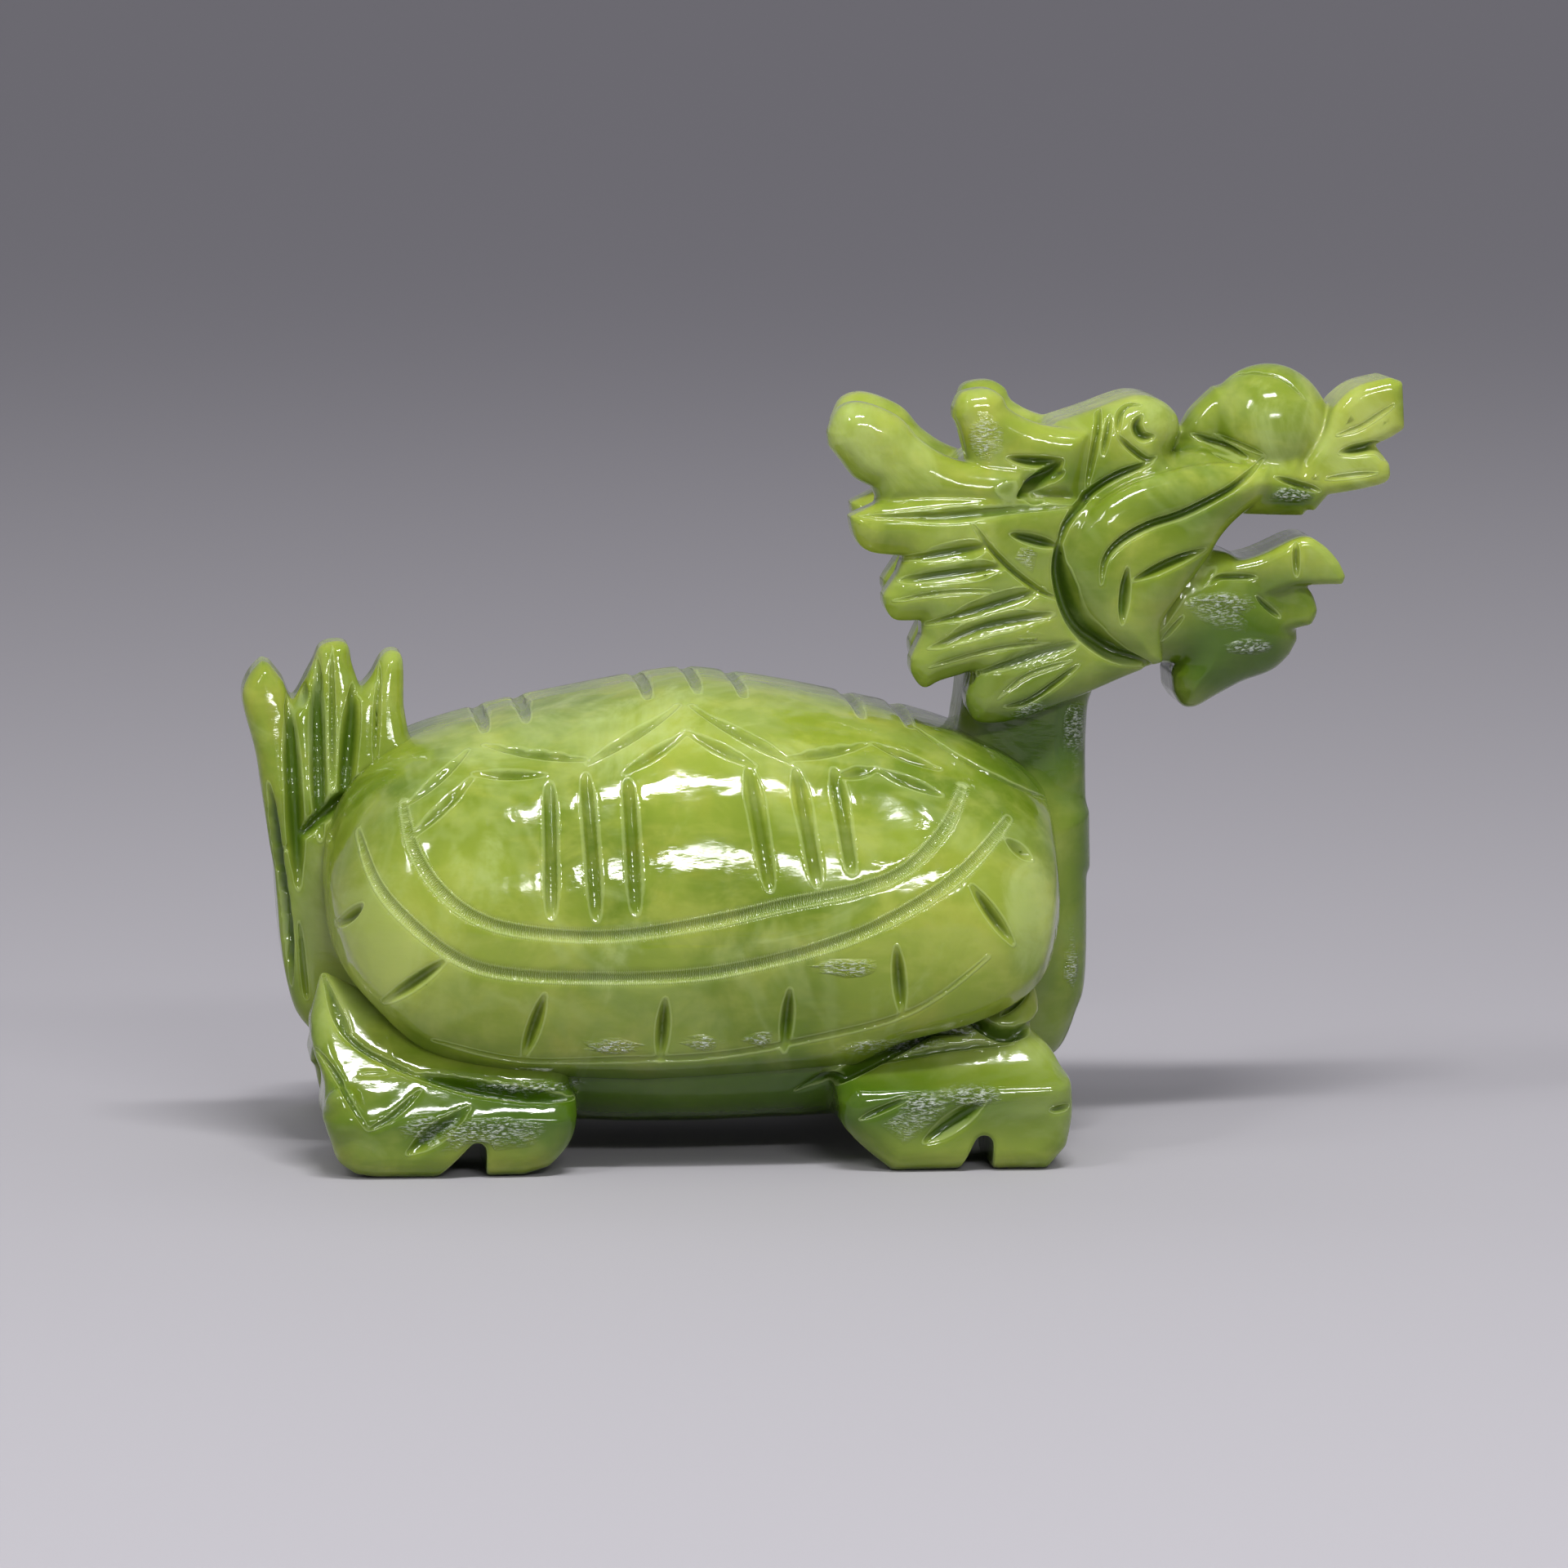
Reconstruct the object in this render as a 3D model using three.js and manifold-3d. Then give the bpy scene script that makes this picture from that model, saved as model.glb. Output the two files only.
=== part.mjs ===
// Dragon turtle figure, wheel-cut from one block of green stone and polished.
// Millimetres, +Z up. +X runs from the tail to the dragon's head, Y from side to side.
// The origin is on the ground, under the middle of the figure's length and width.

import * as THREE from 'three';
import { mergeVertices } from 'three/addons/utils/BufferGeometryUtils.js';
import Module from 'manifold-3d';

const wasm = await Module();
wasm.setup();

// The side view is drawn on a carver's grid of squares, counted from the middle of the length
// and from the ground. Widths across the figure, and the sizes of the cuts, are set in millimetres.
const FIGURE_LENGTH = 85;
const GRID_SQUARES = 85;
const square = FIGURE_LENGTH / GRID_SQUARES;
const UP = new THREE.Vector3(0, 0, 1);
const NEAR = new THREE.Vector3(0, -1, 0);

// Widths of the body, across both sides
const SHELL_WIDTH = 40;
const BELLY_WIDTH = 34;
const TAIL_WIDTH = 10.5;
const CHEST_WIDTH = 13;
const NECK_WIDTH = 11;
const FEET_SPREAD = 39;
const FOOT_WIDTH = 10.5;

// Widths of the head, across both sides
const SKULL_WIDTH = 12.4;
const CHEEK_WIDTH = 17.6;
const JAW_WIDTH = 12;
const LIP_WIDTH = 8.4;
const CHIN_LEAF_WIDTH = 7.4;
const FLAME_WIDTH = 8;
const NOSE_RIDGE_WIDTH = 4.6;
const NOSE_BALL_DIAMETER = 9.2;
const MANE_WIDTH = 18;
const MANE_PLATE = 5.2;
const HORN_WIDTH = 16.4;
const HORN_THICKNESS = 5;
const EAR_WIDTH = 14;
const EAR_THICKNESS = 4.4;
const FAR_HEAD_SETBACK = 1.3;

// Bevels along the edges of the slabs. They are shares of a square, because the outlines that they
// run round have parts as narrow as two squares.
const EDGE_BEVEL = 0.7 * square;
const TAIL_BEVEL = 0.45 * square;
const CHEST_BEVEL = 2 * square;
const NECK_BEVEL = 1.6 * square;
const LIP_BEVEL = 0.5 * square;
const HORN_BEVEL = 1.2 * square;
const EAR_BEVEL = 1 * square;
const FOOT_BEVEL = 0.6 * square;
const LEG_BEVEL = 1.2 * square;
const RIM_BEVEL = 0.1 * square;

// Widths and depths of the cuts. A cutter stands out of the surface by a share of its depth.
const CUT_STAND = 1.5;
const RING_GROOVE_WIDTH = 1.3;
const RING_GROOVE_DEPTH = 0.6;
const RING_GROOVE_PIECES = 9;
const PLATE_CUT_WIDTH = 1.4;
const PLATE_CUT_DEPTH = 0.9;
const RIDGE_CUT_LENGTH = 21;
const RIDGE_CUT_WIDTH = 1.6;
const RIDGE_CUT_DEPTH = 2.2;
const MANE_CUT_WIDTH = 1;
const MANE_CUT_DEPTH = 0.7;
const TOE_CUT_WIDTH = 1.2;
const TOE_CUT_DEPTH = 0.9;
const TOE_SLOT_WIDTH = 1.2;
const TOE_SLOT_HEIGHT = 2.3;
const TOE_SLOT_LEAN = 25;

// Faces around and along the domes and the nose ball, and the nearest that two corners may lie
const SHELL_FACES = [24, 14];
const BELLY_FACES = [10, 6];
const NOSE_FACES = [12, 8];
const CORNER_MERGE = 1e-4;

// The shell is a dome with blunt flanks and a long low ridge. Its underside is cut away to a
// boat's keel line, which leaves a sharp rim all round.
const shell = {
  middle: -9.8 * square,
  waist: 17 * square,
  halfLength: 27.8 * square,
  halfWidth: SHELL_WIDTH / 2,
  rise: 17.4 * square,
  drop: 20 * square,
  planRoundness: 8,
  flankRoundness: 2.9,
  ridgeRoundness: 1.9,
  ridgeSlope: 0.35,
};
const shellSideOutline = [
  [[-37.7, 20], [-36.1, 15], [-33, 11.3], [-29.8, 8.7], [-24.6, 7], [-14.2, 6.5]],
  [[0.9, 7.4], [4.3, 9], [10.3, 10.7], [14.2, 12.9], [15.8, 15.6], [16.6, 19.5], [16.8, 23]],
  [[17.4, 36], [-38, 36]],
];

// The belly hangs under the shell and stays clear of the ground
const belly = {
  middle: -10.5 * square,
  waist: 10.5 * square,
  halfLength: 22 * square,
  halfWidth: BELLY_WIDTH / 2,
  rise: 6 * square,
  drop: 8.6 * square,
  planRoundness: 2.6,
  flankRoundness: 3,
  ridgeRoundness: 2.6,
  ridgeSlope: 0.1,
};

// Turns a closed three.js geometry into a solid that can be joined and cut
function solidOf(geometry) {
  geometry.deleteAttribute('normal');
  geometry.deleteAttribute('uv');
  const merged = mergeVertices(geometry, CORNER_MERGE);
  return new wasm.Manifold(new wasm.Mesh({
    numProp: 3,
    vertProperties: Float32Array.from(merged.attributes.position.array),
    triVerts: Uint32Array.from(merged.index.array),
  }));
}

// Moves every vertex of a geometry by a function of its place
function reshape(geometry, move) {
  const place = geometry.attributes.position;
  const vertex = new THREE.Vector3();
  for (let i = 0; i < place.count; i += 1) {
    vertex.fromBufferAttribute(place, i);
    move(vertex);
    place.setXYZ(i, vertex.x, vertex.y, vertex.z);
  }
  return geometry;
}

// The same geometry on the far side of the middle plane, set back along the figure if need be
function mirrored(geometry, setback = 0) {
  const bare = geometry.clone().deleteAttribute('normal').deleteAttribute('uv');
  const copy = mergeVertices(bare, CORNER_MERGE);
  reshape(copy, (vertex) => vertex.set(vertex.x + setback, -vertex.y, vertex.z));
  const corner = copy.index;
  for (let i = 0; i < corner.count; i += 3) {
    const first = corner.getX(i);
    corner.setX(i, corner.getX(i + 1));
    corner.setX(i + 1, first);
  }
  return copy;
}

// A side-view outline. Each run of grid points is one smooth line, and runs meet at corners.
function outlineShape(runs) {
  const shape = new THREE.Shape();
  runs.forEach((run, order) => {
    const points = run.map(([along, up]) => new THREE.Vector2(along * square, up * square));
    if (order === 0) shape.moveTo(points[0].x, points[0].y);
    else shape.lineTo(points[0].x, points[0].y);
    if (points.length === 2) shape.lineTo(points[1].x, points[1].y);
    if (points.length > 2) shape.splineThru(points.slice(1));
  });
  return shape;
}

// A slab cut to a side-view outline, between two distances from the middle plane, on the near side
function slab(runs, inner, outer, bevel = EDGE_BEVEL) {
  const geometry = new THREE.ExtrudeGeometry(outlineShape(runs), {
    depth: outer - inner - 2 * bevel,
    curveSegments: 1,
    bevelEnabled: true,
    bevelThickness: bevel,
    bevelSize: bevel,
    bevelOffset: -bevel,
    bevelSegments: 1,
  });
  geometry.translate(0, 0, inner + bevel);
  return geometry.rotateX(Math.PI / 2);
}

// Narrows a geometry towards the middle plane, between two grid lines along the figure or up it
function taper(geometry, narrows) {
  if (!narrows) return geometry;
  const { axis, start, end, share } = narrows;
  return reshape(geometry, (vertex) => {
    const way = THREE.MathUtils.clamp((vertex[axis] / square - start) / (end - start), 0, 1);
    vertex.y *= 1 - way * (1 - share);
  });
}

// Half width and ridge height of a dome at a share of its half length, as shares of their own
function domePlan(form, share) {
  return (1 - Math.abs(share) ** form.planRoundness) ** (1 / form.flankRoundness);
}
function domeRidge(form, share) {
  const away = Math.abs(share);
  return (1 - form.ridgeSlope * away ** 1.3) * Math.sqrt(1 - away ** 10);
}

// A dome: a sphere whose rings, one behind the other along X, take the plan's and the ridge's size
function dome(form, [around, along]) {
  const geometry = new THREE.SphereGeometry(1, around, along).rotateZ(Math.PI / 2);
  return reshape(geometry, (vertex) => {
    const share = THREE.MathUtils.clamp(vertex.x, -1, 1);
    const radius = Math.hypot(vertex.y, vertex.z) || 1;
    const across = vertex.y / radius;
    const up = vertex.z / radius;
    const height = up > 0 ? form.rise : form.drop;
    const y = Math.sign(across) * Math.abs(across) ** (2 / form.flankRoundness);
    const z = Math.sign(up) * Math.abs(up) ** (2 / form.ridgeRoundness);
    vertex.x = form.middle + share * form.halfLength;
    vertex.y = y * form.halfWidth * domePlan(form, share);
    vertex.z = form.waist + z * height * domeRidge(form, share);
  });
}

// Top of a dome at a place in its plan
function domeTop(form, x, y) {
  const share = THREE.MathUtils.clamp((x - form.middle) / form.halfLength, -0.999, 0.999);
  const across = Math.min(1, Math.abs(y) / (form.halfWidth * domePlan(form, share)));
  const up = (1 - across ** form.flankRoundness) ** (1 / form.ridgeRoundness);
  return form.waist + up * form.rise * domeRidge(form, share);
}

// Half width of a dome at a point of the side view
function domeHalfWidth(form, x, z) {
  const share = THREE.MathUtils.clamp((x - form.middle) / form.halfLength, -0.999, 0.999);
  const height = (z > form.waist ? form.rise : form.drop) * domeRidge(form, share);
  const up = Math.min(1, Math.abs(z - form.waist) / height) ** form.ridgeRoundness;
  return form.halfWidth * domePlan(form, share) * (1 - up) ** (1 / form.flankRoundness);
}

// A wheel cut along a line of points that lie on the surface: a sphere of four sides, drawn out
// along the line. Its section is a diamond with one corner down in the stone, and both ends run
// out to a point.
function wheelCut(points, outward, width, depth, steps = 2) {
  const path = points.length === 2
    ? new THREE.LineCurve3(...points)
    : new THREE.CatmullRomCurve3(points);
  const stand = depth * CUT_STAND;
  return reshape(new THREE.SphereGeometry(1, 4, steps), (vertex) => {
    const way = Math.acos(THREE.MathUtils.clamp(vertex.y, -1, 1)) / Math.PI;
    const centre = path.getPoint(way);
    const normal = outward(centre);
    const side = new THREE.Vector3().crossVectors(normal, path.getTangent(way)).normalize();
    const fullness = Math.max(Math.hypot(vertex.x, vertex.z), 1e-6) ** -0.5;
    const across = vertex.x * fullness * width / 2;
    const height = vertex.z * fullness * (vertex.z > 0 ? stand : depth);
    vertex.copy(centre).addScaledVector(side, across).addScaledVector(normal, height);
  });
}

// A point of the side view, laid on the near side of the shell
function onShell([along, up]) {
  const x = along * square;
  const z = up * square;
  return new THREE.Vector3(x, -domeHalfWidth(shell, x, z), z);
}

// The direction that faces away from the shell at a point of its near side
function shellOutward({ x, z }) {
  const step = 0.2 * square;
  const slopeX = (domeHalfWidth(shell, x + step, z) - domeHalfWidth(shell, x - step, z)) / (2 * step);
  const slopeZ = (domeHalfWidth(shell, x, z + step) - domeHalfWidth(shell, x, z - step)) / (2 * step);
  return new THREE.Vector3(-slopeX, -1, -slopeZ).normalize();
}

// Cuts on a slab whose face is flat and faces the near side
function faceCut(points, fromMiddle, width, depth, steps) {
  const places = points.map(([along, up]) => new THREE.Vector3(along * square, -fromMiddle, up * square));
  return wheelCut(places, () => NEAR, width, depth, steps);
}

// Tail: three flames that rise from a strip down the back of the figure
const tailOutline = [
  [[-41.1, 35.6], [-42.1, 34.4], [-42.5, 32.6], [-41.6, 29], [-41.1, 25.6], [-40.3, 20.5]],
  [[-40, 15.9], [-39.6, 12.9], [-38.9, 10.2], [-37.7, 8.6]],
  [[-34, 9], [-28, 14], [-27, 24], [-30.5, 30.2]],
  [[-30.8, 32.2], [-30.8, 35.5], [-31.5, 36.2], [-32.4, 35.8], [-33.1, 34.5]],
  [[-33.9, 33.4]],
  [[-34.5, 35.4], [-34.8, 36.7], [-35.9, 36.9], [-36.9, 36.5], [-37.4, 35.4], [-38.1, 34]],
  [[-38.9, 32.5]],
  [[-39.5, 34.1], [-40.5, 35.4]],
];
const tailCuts = [
  [[-39.4, 32.6], [-38.6, 20]],
  [[-37.2, 35.6], [-37, 23.6]],
  [[-34.6, 33.2], [-35.4, 25.6]],
  [[-32.4, 35], [-33, 29]],
  [[-38.9, 22.6], [-31.6, 28.4]],
  [[-40.6, 26.5], [-39.2, 13]],
];

const tailNarrows = { axis: 'z', start: 26, end: 36, share: 0.55 };

// Chest and neck: one upright mass that carries the head in front of the shell
const chestOutline = [
  [[19.1, 24], [19.1, 12.7], [18.4, 9.4], [16.9, 6.4], [13.5, 5]],
  [[2, 6], [-2, 14], [0, 24]],
  [[6, 27], [14.5, 27.6]],
];
const neckOutline = [
  [[19.2, 20], [19.1, 30], [19.8, 33.4], [22.6, 37]],
  [[20, 44], [11, 44], [10.4, 37]],
  [[10.1, 34], [9.8, 31.4], [9.2, 29.8], [6, 29]],
  [[0, 27], [4, 18]],
];

// Head: the parts lie side by side like sheets, each with its own outline and width
const skullOutline = [
  [[9, 49], [12, 51.2], [15.5, 51.8]],
  [[17, 52.8], [19.5, 53.6], [22.4, 54.6], [24.4, 54.3], [25.7, 53.2], [26, 51.8]],
  [[25.4, 50.4], [27.4, 50.6], [30.1, 50.2], [35, 50.6]],
  [[36.6, 47.2], [35.2, 45.6]],
  [[30.4, 45.7], [28.9, 44.4], [28.3, 43]],
  [[27, 38], [22, 35], [15, 34.6], [11, 37], [9.6, 43]],
];
const noseRidgeOutline = [
  [[24.6, 49.6], [26, 51], [27, 53.2], [28.8, 55]],
  [[34, 55], [37.4, 51]],
  [[36, 48], [26, 48]],
];
const cheekOutline = [
  [[16.7, 42.4], [17.4, 44.6], [19, 46.6], [20.9, 47.9], [23.4, 48.9], [28, 49.7], [32.4, 49.4]],
  [[33.2, 47.9]],
  [[31.8, 46.8], [30.2, 45.7], [28.9, 44.4], [28, 43]],
  [[25.5, 39.7], [24.3, 38.1], [24, 35.6]],
  [[23.3, 35.2], [21.1, 36], [19.3, 37.3], [18, 38.9], [17, 40.7]],
];
const jawOutline = [
  [[22, 42.2], [28.3, 43.2], [30.7, 42.4]],
  [[33.8, 40.6], [34.7, 38], [34.9, 36.4]],
  [[34.3, 35.3], [33, 34.2], [30.7, 33.4], [28.6, 32.4], [27.2, 31.7], [26.2, 31.8], [25.5, 32.8]],
  [[25.4, 34.1], [25.7, 34.9]],
  [[21.1, 35.4]],
];
const lowerLipOutline = [
  [[28.4, 42.2], [31.6, 42.7], [34.9, 44.1], [36.4, 43.6], [37.6, 42.4], [38.2, 41.2]],
  [[38, 40.6], [34.6, 40.5]],
  [[29, 38.6]],
];
const chinLeafOutline = [
  [[29, 41], [34.8, 40.7], [36.2, 38.9], [35.8, 37.6]],
  [[34, 37.2], [29, 36]],
];
const flameOutline = [
  [[33, 47], [35, 49.6], [36.5, 51.6], [37.3, 53.6], [39, 55.1], [41.4, 55.7]],
  [[42.3, 55.4], [42.5, 52]],
  [[41.6, 51.4], [40.4, 50.8]],
  [[41.4, 49.4], [41.3, 48.2], [39.4, 47.6], [36.9, 47.2]],
  [[35.9, 46]],
];
const skullNarrows = { axis: 'x', start: 20, end: 34, share: 0.72 };
const cheekNarrows = { axis: 'x', start: 20, end: 33, share: 0.6 };
const jawNarrows = { axis: 'x', start: 24, end: 34, share: 0.7 };
const maneNarrows = { axis: 'x', start: 11, end: 19, share: 0.84 };
const noseBall = { along: 32.8, up: 52 };

const maneOutline = [
  [[19.5, 47.2], [8, 47.6], [3.4, 47.2]],
  [[1.3, 46.2], [1.7, 44.6], [2.8, 43.6], [5.2, 43.3]],
  [[4.7, 42]],
  [[3.7, 40.5], [3.8, 39.6], [4.6, 38.6], [6.5, 38.6]],
  [[6.5, 37.6]],
  [[5.7, 35.9], [5.8, 34.8], [6.7, 33.7], [8, 34.2], [10.2, 34.8]],
  [[9.7, 33.2], [9.9, 32.1], [10.8, 31.1], [13.8, 31.3], [18.3, 32.9], [21.6, 34.2], [24.4, 35.3]],
  [[24, 38], [21, 44]],
];
const hornOutline = [
  [[-0.2, 52.2], [0.5, 53.8], [1.8, 54.4], [3.4, 54.1], [5.2, 53.2], [6.7, 51.6], [9.4, 50.1], [14, 49.4]],
  [[15, 46.2], [3.6, 46.6]],
  [[3, 48.2], [1.7, 48.9], [0.7, 50.2], [-0.1, 51.2]],
];
const earOutline = [
  [[9, 53.9], [9.6, 55], [11.4, 55.3], [12.6, 54.7], [13.2, 53.7], [15.5, 52.6], [19, 52.2]],
  [[18, 47], [10.4, 48.6]],
  [[9.8, 51], [9.4, 52.4], [9, 53.2]],
];

const maneCuts = [
  [[3.4, 46.8], [8.5, 46.1], [18.5, 46.3]],
  [[6, 43.1], [10.8, 43.9]],
  [[5, 41], [12.2, 41.9]],
  [[6.8, 38.2], [14.8, 40.4]],
  [[6.6, 35.8], [16.1, 38.7]],
  [[10.6, 34.1], [14.7, 35.7], [17.3, 36.6]],
  [[12.2, 32.8], [17.3, 36.2]],
  [[12.9, 32.2], [18, 35.1]],
  [[10.1, 45.6], [11.4, 43.8], [13.2, 42.2], [16.7, 40.1]],
  [[13.4, 44.8], [16.5, 43.8]],
];
const cheekCuts = [
  [[19.4, 41.6], [19.7, 42.9], [21.9, 44.8], [26.4, 46.5], [30.8, 48.5]],
  [[21.8, 42], [21.5, 37.8]],
  [[22.4, 41.4], [27.6, 43.2]],
];
const skullCuts = [
  [[13.4, 47.6], [16.6, 50]],
  [[12.8, 50], [16.6, 49.8]],
  [[20.2, 53.8], [19, 48.6]],
  [[21.9, 51.6], [20.7, 48.6]],
];
const jawCuts = [
  [[28.6, 41.2], [33.2, 40.2]],
  [[25.8, 38.8], [27.4, 34.6]],
  [[29, 39], [33.4, 38.4]],
];
const flameCuts = [
  [[35, 51.6], [40.6, 53.8]],
  [[35, 49.6], [41.6, 50.2]],
  [[36.6, 47.9], [40.4, 48.4]],
];
const hornCuts = [
  [[1.2, 52.6], [7.4, 49.4]],
];

// Feet and legs
const rearFootOutline = [
  [[-37.1, 4.6], [-36.8, 3.1], [-36.2, 1.4], [-35, 0.3]],
  [[-34, 0], [-22.6, 0]],
  [[-20.6, 0.9], [-19.4, 2.4], [-19, 4.6]],
  [[-19.6, 6.2], [-36.6, 6.2]],
];
const rearLegOutline = [
  [[-38.1, 10.6], [-37.9, 8.8], [-37.2, 6.6], [-37.4, 4.2]],
  [[-21, 3.4], [-19.6, 6.4], [-20.6, 9]],
  [[-27, 10.4], [-33, 12], [-37.2, 14]],
];
const frontFootOutline = [
  [[-0.5, 5.2], [-0.3, 3.6], [0.8, 2.2], [2.4, 0.8]],
  [[3.4, 0], [14.6, 0]],
  [[16, 1.6], [16.4, 3.9], [16.3, 6.4]],
  [[15.2, 7.2], [0.6, 6.4]],
];
const frontLegOutline = [
  [[-3.2, 9.6], [0.2, 4.6]],
  [[14.6, 3.4], [16, 5.6], [15.8, 7], [15.1, 8.4], [13.9, 9.4]],
  [[14.6, 10.8], [14.4, 12.4], [13.2, 15]],
  [[9.5, 13.4], [4, 11]],
];
const footNarrows = { axis: 'z', start: 3.5, end: 9, share: 0.8 };
const legNarrows = { axis: 'z', start: 3.5, end: 14, share: 0.62 };
const rearToeCuts = [
  [[-36.6, 6.6], [-32.2, 3.6]],
  [[-34.4, 2.4], [-31.6, 5.2]],
  [[-31.2, 2], [-27.8, 4.6]],
];
const frontToeCuts = [
  [[0.9, 3.7], [3.9, 4.6]],
  [[5.8, 1.9], [8.8, 3.9]],
  [[11.2, 4.6], [14.4, 5]],
];

// Each foot is split into toes by one leaning saw slot, open below
const toeSlots = [-27, 9.7];

// Shell carving: two rings, nicks around the rim, and the outlines of the plates
const rings = {
  outer: [[-34.6, 24.4], [-33.4, 21], [-31, 18.3], [-28, 16], [-25, 14.9], [-19.4, 14.4],
    [-11.3, 14.5], [-4.5, 15.7], [0.7, 17.3], [5, 19.4], [8.6, 21.8], [12, 25]],
  inner: [[-31.4, 26.6], [-30.8, 23.6], [-29.2, 21], [-26.6, 18.9], [-23, 17.8], [-17, 17.4],
    [-10, 18.3], [-4.5, 19.5], [0.7, 20.5], [4.3, 21.9], [7.2, 24.6], [8.8, 27.2]],
};
const rimNicks = [
  [[-36.2, 17.6], [-34.4, 19.4]],
  [[-33, 12.5], [-28.6, 15.8]],
  [[-23, 8.6], [-21.6, 13.2]],
  [[-13.3, 8.2], [-13, 12.8]],
  [[-4.4, 8.8], [-4.1, 13.4]],
  [[4, 11.4], [3.5, 16.4]],
  [[12, 16.4], [9, 20.6]],
  [[13.6, 22.2], [11.8, 23.6]],
];
const plateCuts = [
  [[-21, 28], [-21.1, 18.8]],
  [[-18.4, 28.4], [-17.9, 18.6]],
  [[-15.4, 28.2], [-15.1, 19]],
  [[-6.7, 28.8], [-5.5, 20.6]],
  [[-3.3, 28.6], [-2.1, 20.8]],
  [[-0.5, 28.6], [0.4, 21.7]],
  [[-15.4, 28.6], [-11, 31.2]],
  [[-11, 31.2], [-6.5, 29.2]],
  [[-18, 29.2], [-11.6, 32.6]],
  [[-10.2, 32.6], [-3.8, 29.3]],
  [[-26.2, 28.4], [-21.2, 28.5]],
  [[-25.4, 30.2], [-18.4, 29.4]],
  [[-31, 24.2], [-26.4, 28.2]],
  [[-31, 26.4], [-26.6, 29.8]],
  [[-0.2, 28.2], [2.6, 28.6]],
  [[2.6, 28.6], [7.2, 26.8]],
  [[-3.6, 29.4], [2.2, 30.2]],
  [[2.6, 30.2], [7.2, 28.4]],
];
const ridgeCuts = [-25.2, -22.2, -13.4, -9.8, -6.5, 2.1, 5.6];

// The slabs of the figure: each has an outline, the distances from the middle plane that it runs
// between, its edge bevel, the cuts in its outer face and, on some, how it narrows.
function slabParts() {
  const footOuter = FEET_SPREAD / 2;
  const footInner = footOuter - FOOT_WIDTH;
  const across = (runs, width, more) => ({ runs, inner: -width / 2, outer: width / 2, ...more });
  const paired = (runs, width, thickness, more) => ({
    runs, inner: width / 2 - thickness, outer: width / 2, pair: true, ...more,
  });
  const foot = (runs, cuts) => ({
    runs, inner: footInner, outer: footOuter, bevel: FOOT_BEVEL, pair: true, cuts,
    cutWidth: TOE_CUT_WIDTH, cutDepth: TOE_CUT_DEPTH, narrows: footNarrows,
  });
  const leg = (runs) => ({
    runs, inner: footInner, outer: footOuter, bevel: LEG_BEVEL, pair: true, narrows: legNarrows,
  });
  return [
    across(tailOutline, TAIL_WIDTH, { bevel: TAIL_BEVEL, cuts: tailCuts, narrows: tailNarrows }),
    across(chestOutline, CHEST_WIDTH, { bevel: CHEST_BEVEL }),
    across(neckOutline, NECK_WIDTH, { bevel: NECK_BEVEL }),
    across(skullOutline, SKULL_WIDTH, { cuts: skullCuts, narrows: skullNarrows }),
    across(noseRidgeOutline, NOSE_RIDGE_WIDTH),
    across(cheekOutline, CHEEK_WIDTH, { cuts: cheekCuts, narrows: cheekNarrows }),
    across(jawOutline, JAW_WIDTH, { cuts: jawCuts, narrows: jawNarrows }),
    across(lowerLipOutline, LIP_WIDTH, { bevel: LIP_BEVEL }),
    across(chinLeafOutline, CHIN_LEAF_WIDTH),
    across(flameOutline, FLAME_WIDTH, { cuts: flameCuts }),
    paired(maneOutline, MANE_WIDTH, MANE_PLATE, {
      cuts: maneCuts, narrows: maneNarrows, setback: FAR_HEAD_SETBACK,
    }),
    paired(hornOutline, HORN_WIDTH, HORN_THICKNESS, {
      bevel: HORN_BEVEL, cuts: hornCuts, setback: FAR_HEAD_SETBACK,
    }),
    paired(earOutline, EAR_WIDTH, EAR_THICKNESS, { bevel: EAR_BEVEL, setback: FAR_HEAD_SETBACK }),
    foot(rearFootOutline, rearToeCuts),
    foot(frontFootOutline, frontToeCuts),
    leg(rearLegOutline),
    leg(frontLegOutline),
  ];
}

// A slab on the near side, and its twin on the far side where it has one
function slabBlocks(part) {
  const near = taper(slab(part.runs, part.inner, part.outer, part.bevel), part.narrows);
  return part.pair ? [near, mirrored(near, part.setback)] : [near];
}

// The cuts in a slab's near face, narrowed with it, and the same ones in its far face
function slabCutters({ cuts = [], outer, narrows, setback, cutWidth, cutDepth }) {
  const near = cuts.map((points) => {
    const steps = points.length === 2 ? 2 : 4;
    const cutter = faceCut(points, outer, cutWidth ?? MANE_CUT_WIDTH, cutDepth ?? MANE_CUT_DEPTH, steps);
    return taper(cutter, narrows);
  });
  return [...near, ...near.map((cutter) => mirrored(cutter, setback))];
}

// The rings, the nicks in the rim and the plates' outlines, on both flanks of the shell
function shellCutters() {
  const flankCut = (points, width, depth, steps) => {
    return wheelCut(points.map(onShell), shellOutward, width, depth, steps);
  };
  const withMiddle = ([start, end]) => {
    const middle = [(start[0] + end[0]) / 2, (start[1] + end[1]) / 2];
    return [start, middle, end];
  };
  const near = [
    ...[rings.outer, rings.inner].map((points) => (
      flankCut(points, RING_GROOVE_WIDTH, RING_GROOVE_DEPTH, RING_GROOVE_PIECES)
    )),
    ...[...rimNicks, ...plateCuts].map((points) => (
      flankCut(withMiddle(points), PLATE_CUT_WIDTH, PLATE_CUT_DEPTH)
    )),
  ];
  return [...near, ...near.map((cutter) => mirrored(cutter))];
}

// The shell's dome, cut away below along its keel line
function shellBlock() {
  const keel = slab(shellSideOutline, -SHELL_WIDTH, SHELL_WIDTH, RIM_BEVEL);
  return solidOf(dome(shell, SHELL_FACES)).intersect(solidOf(keel));
}

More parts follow.
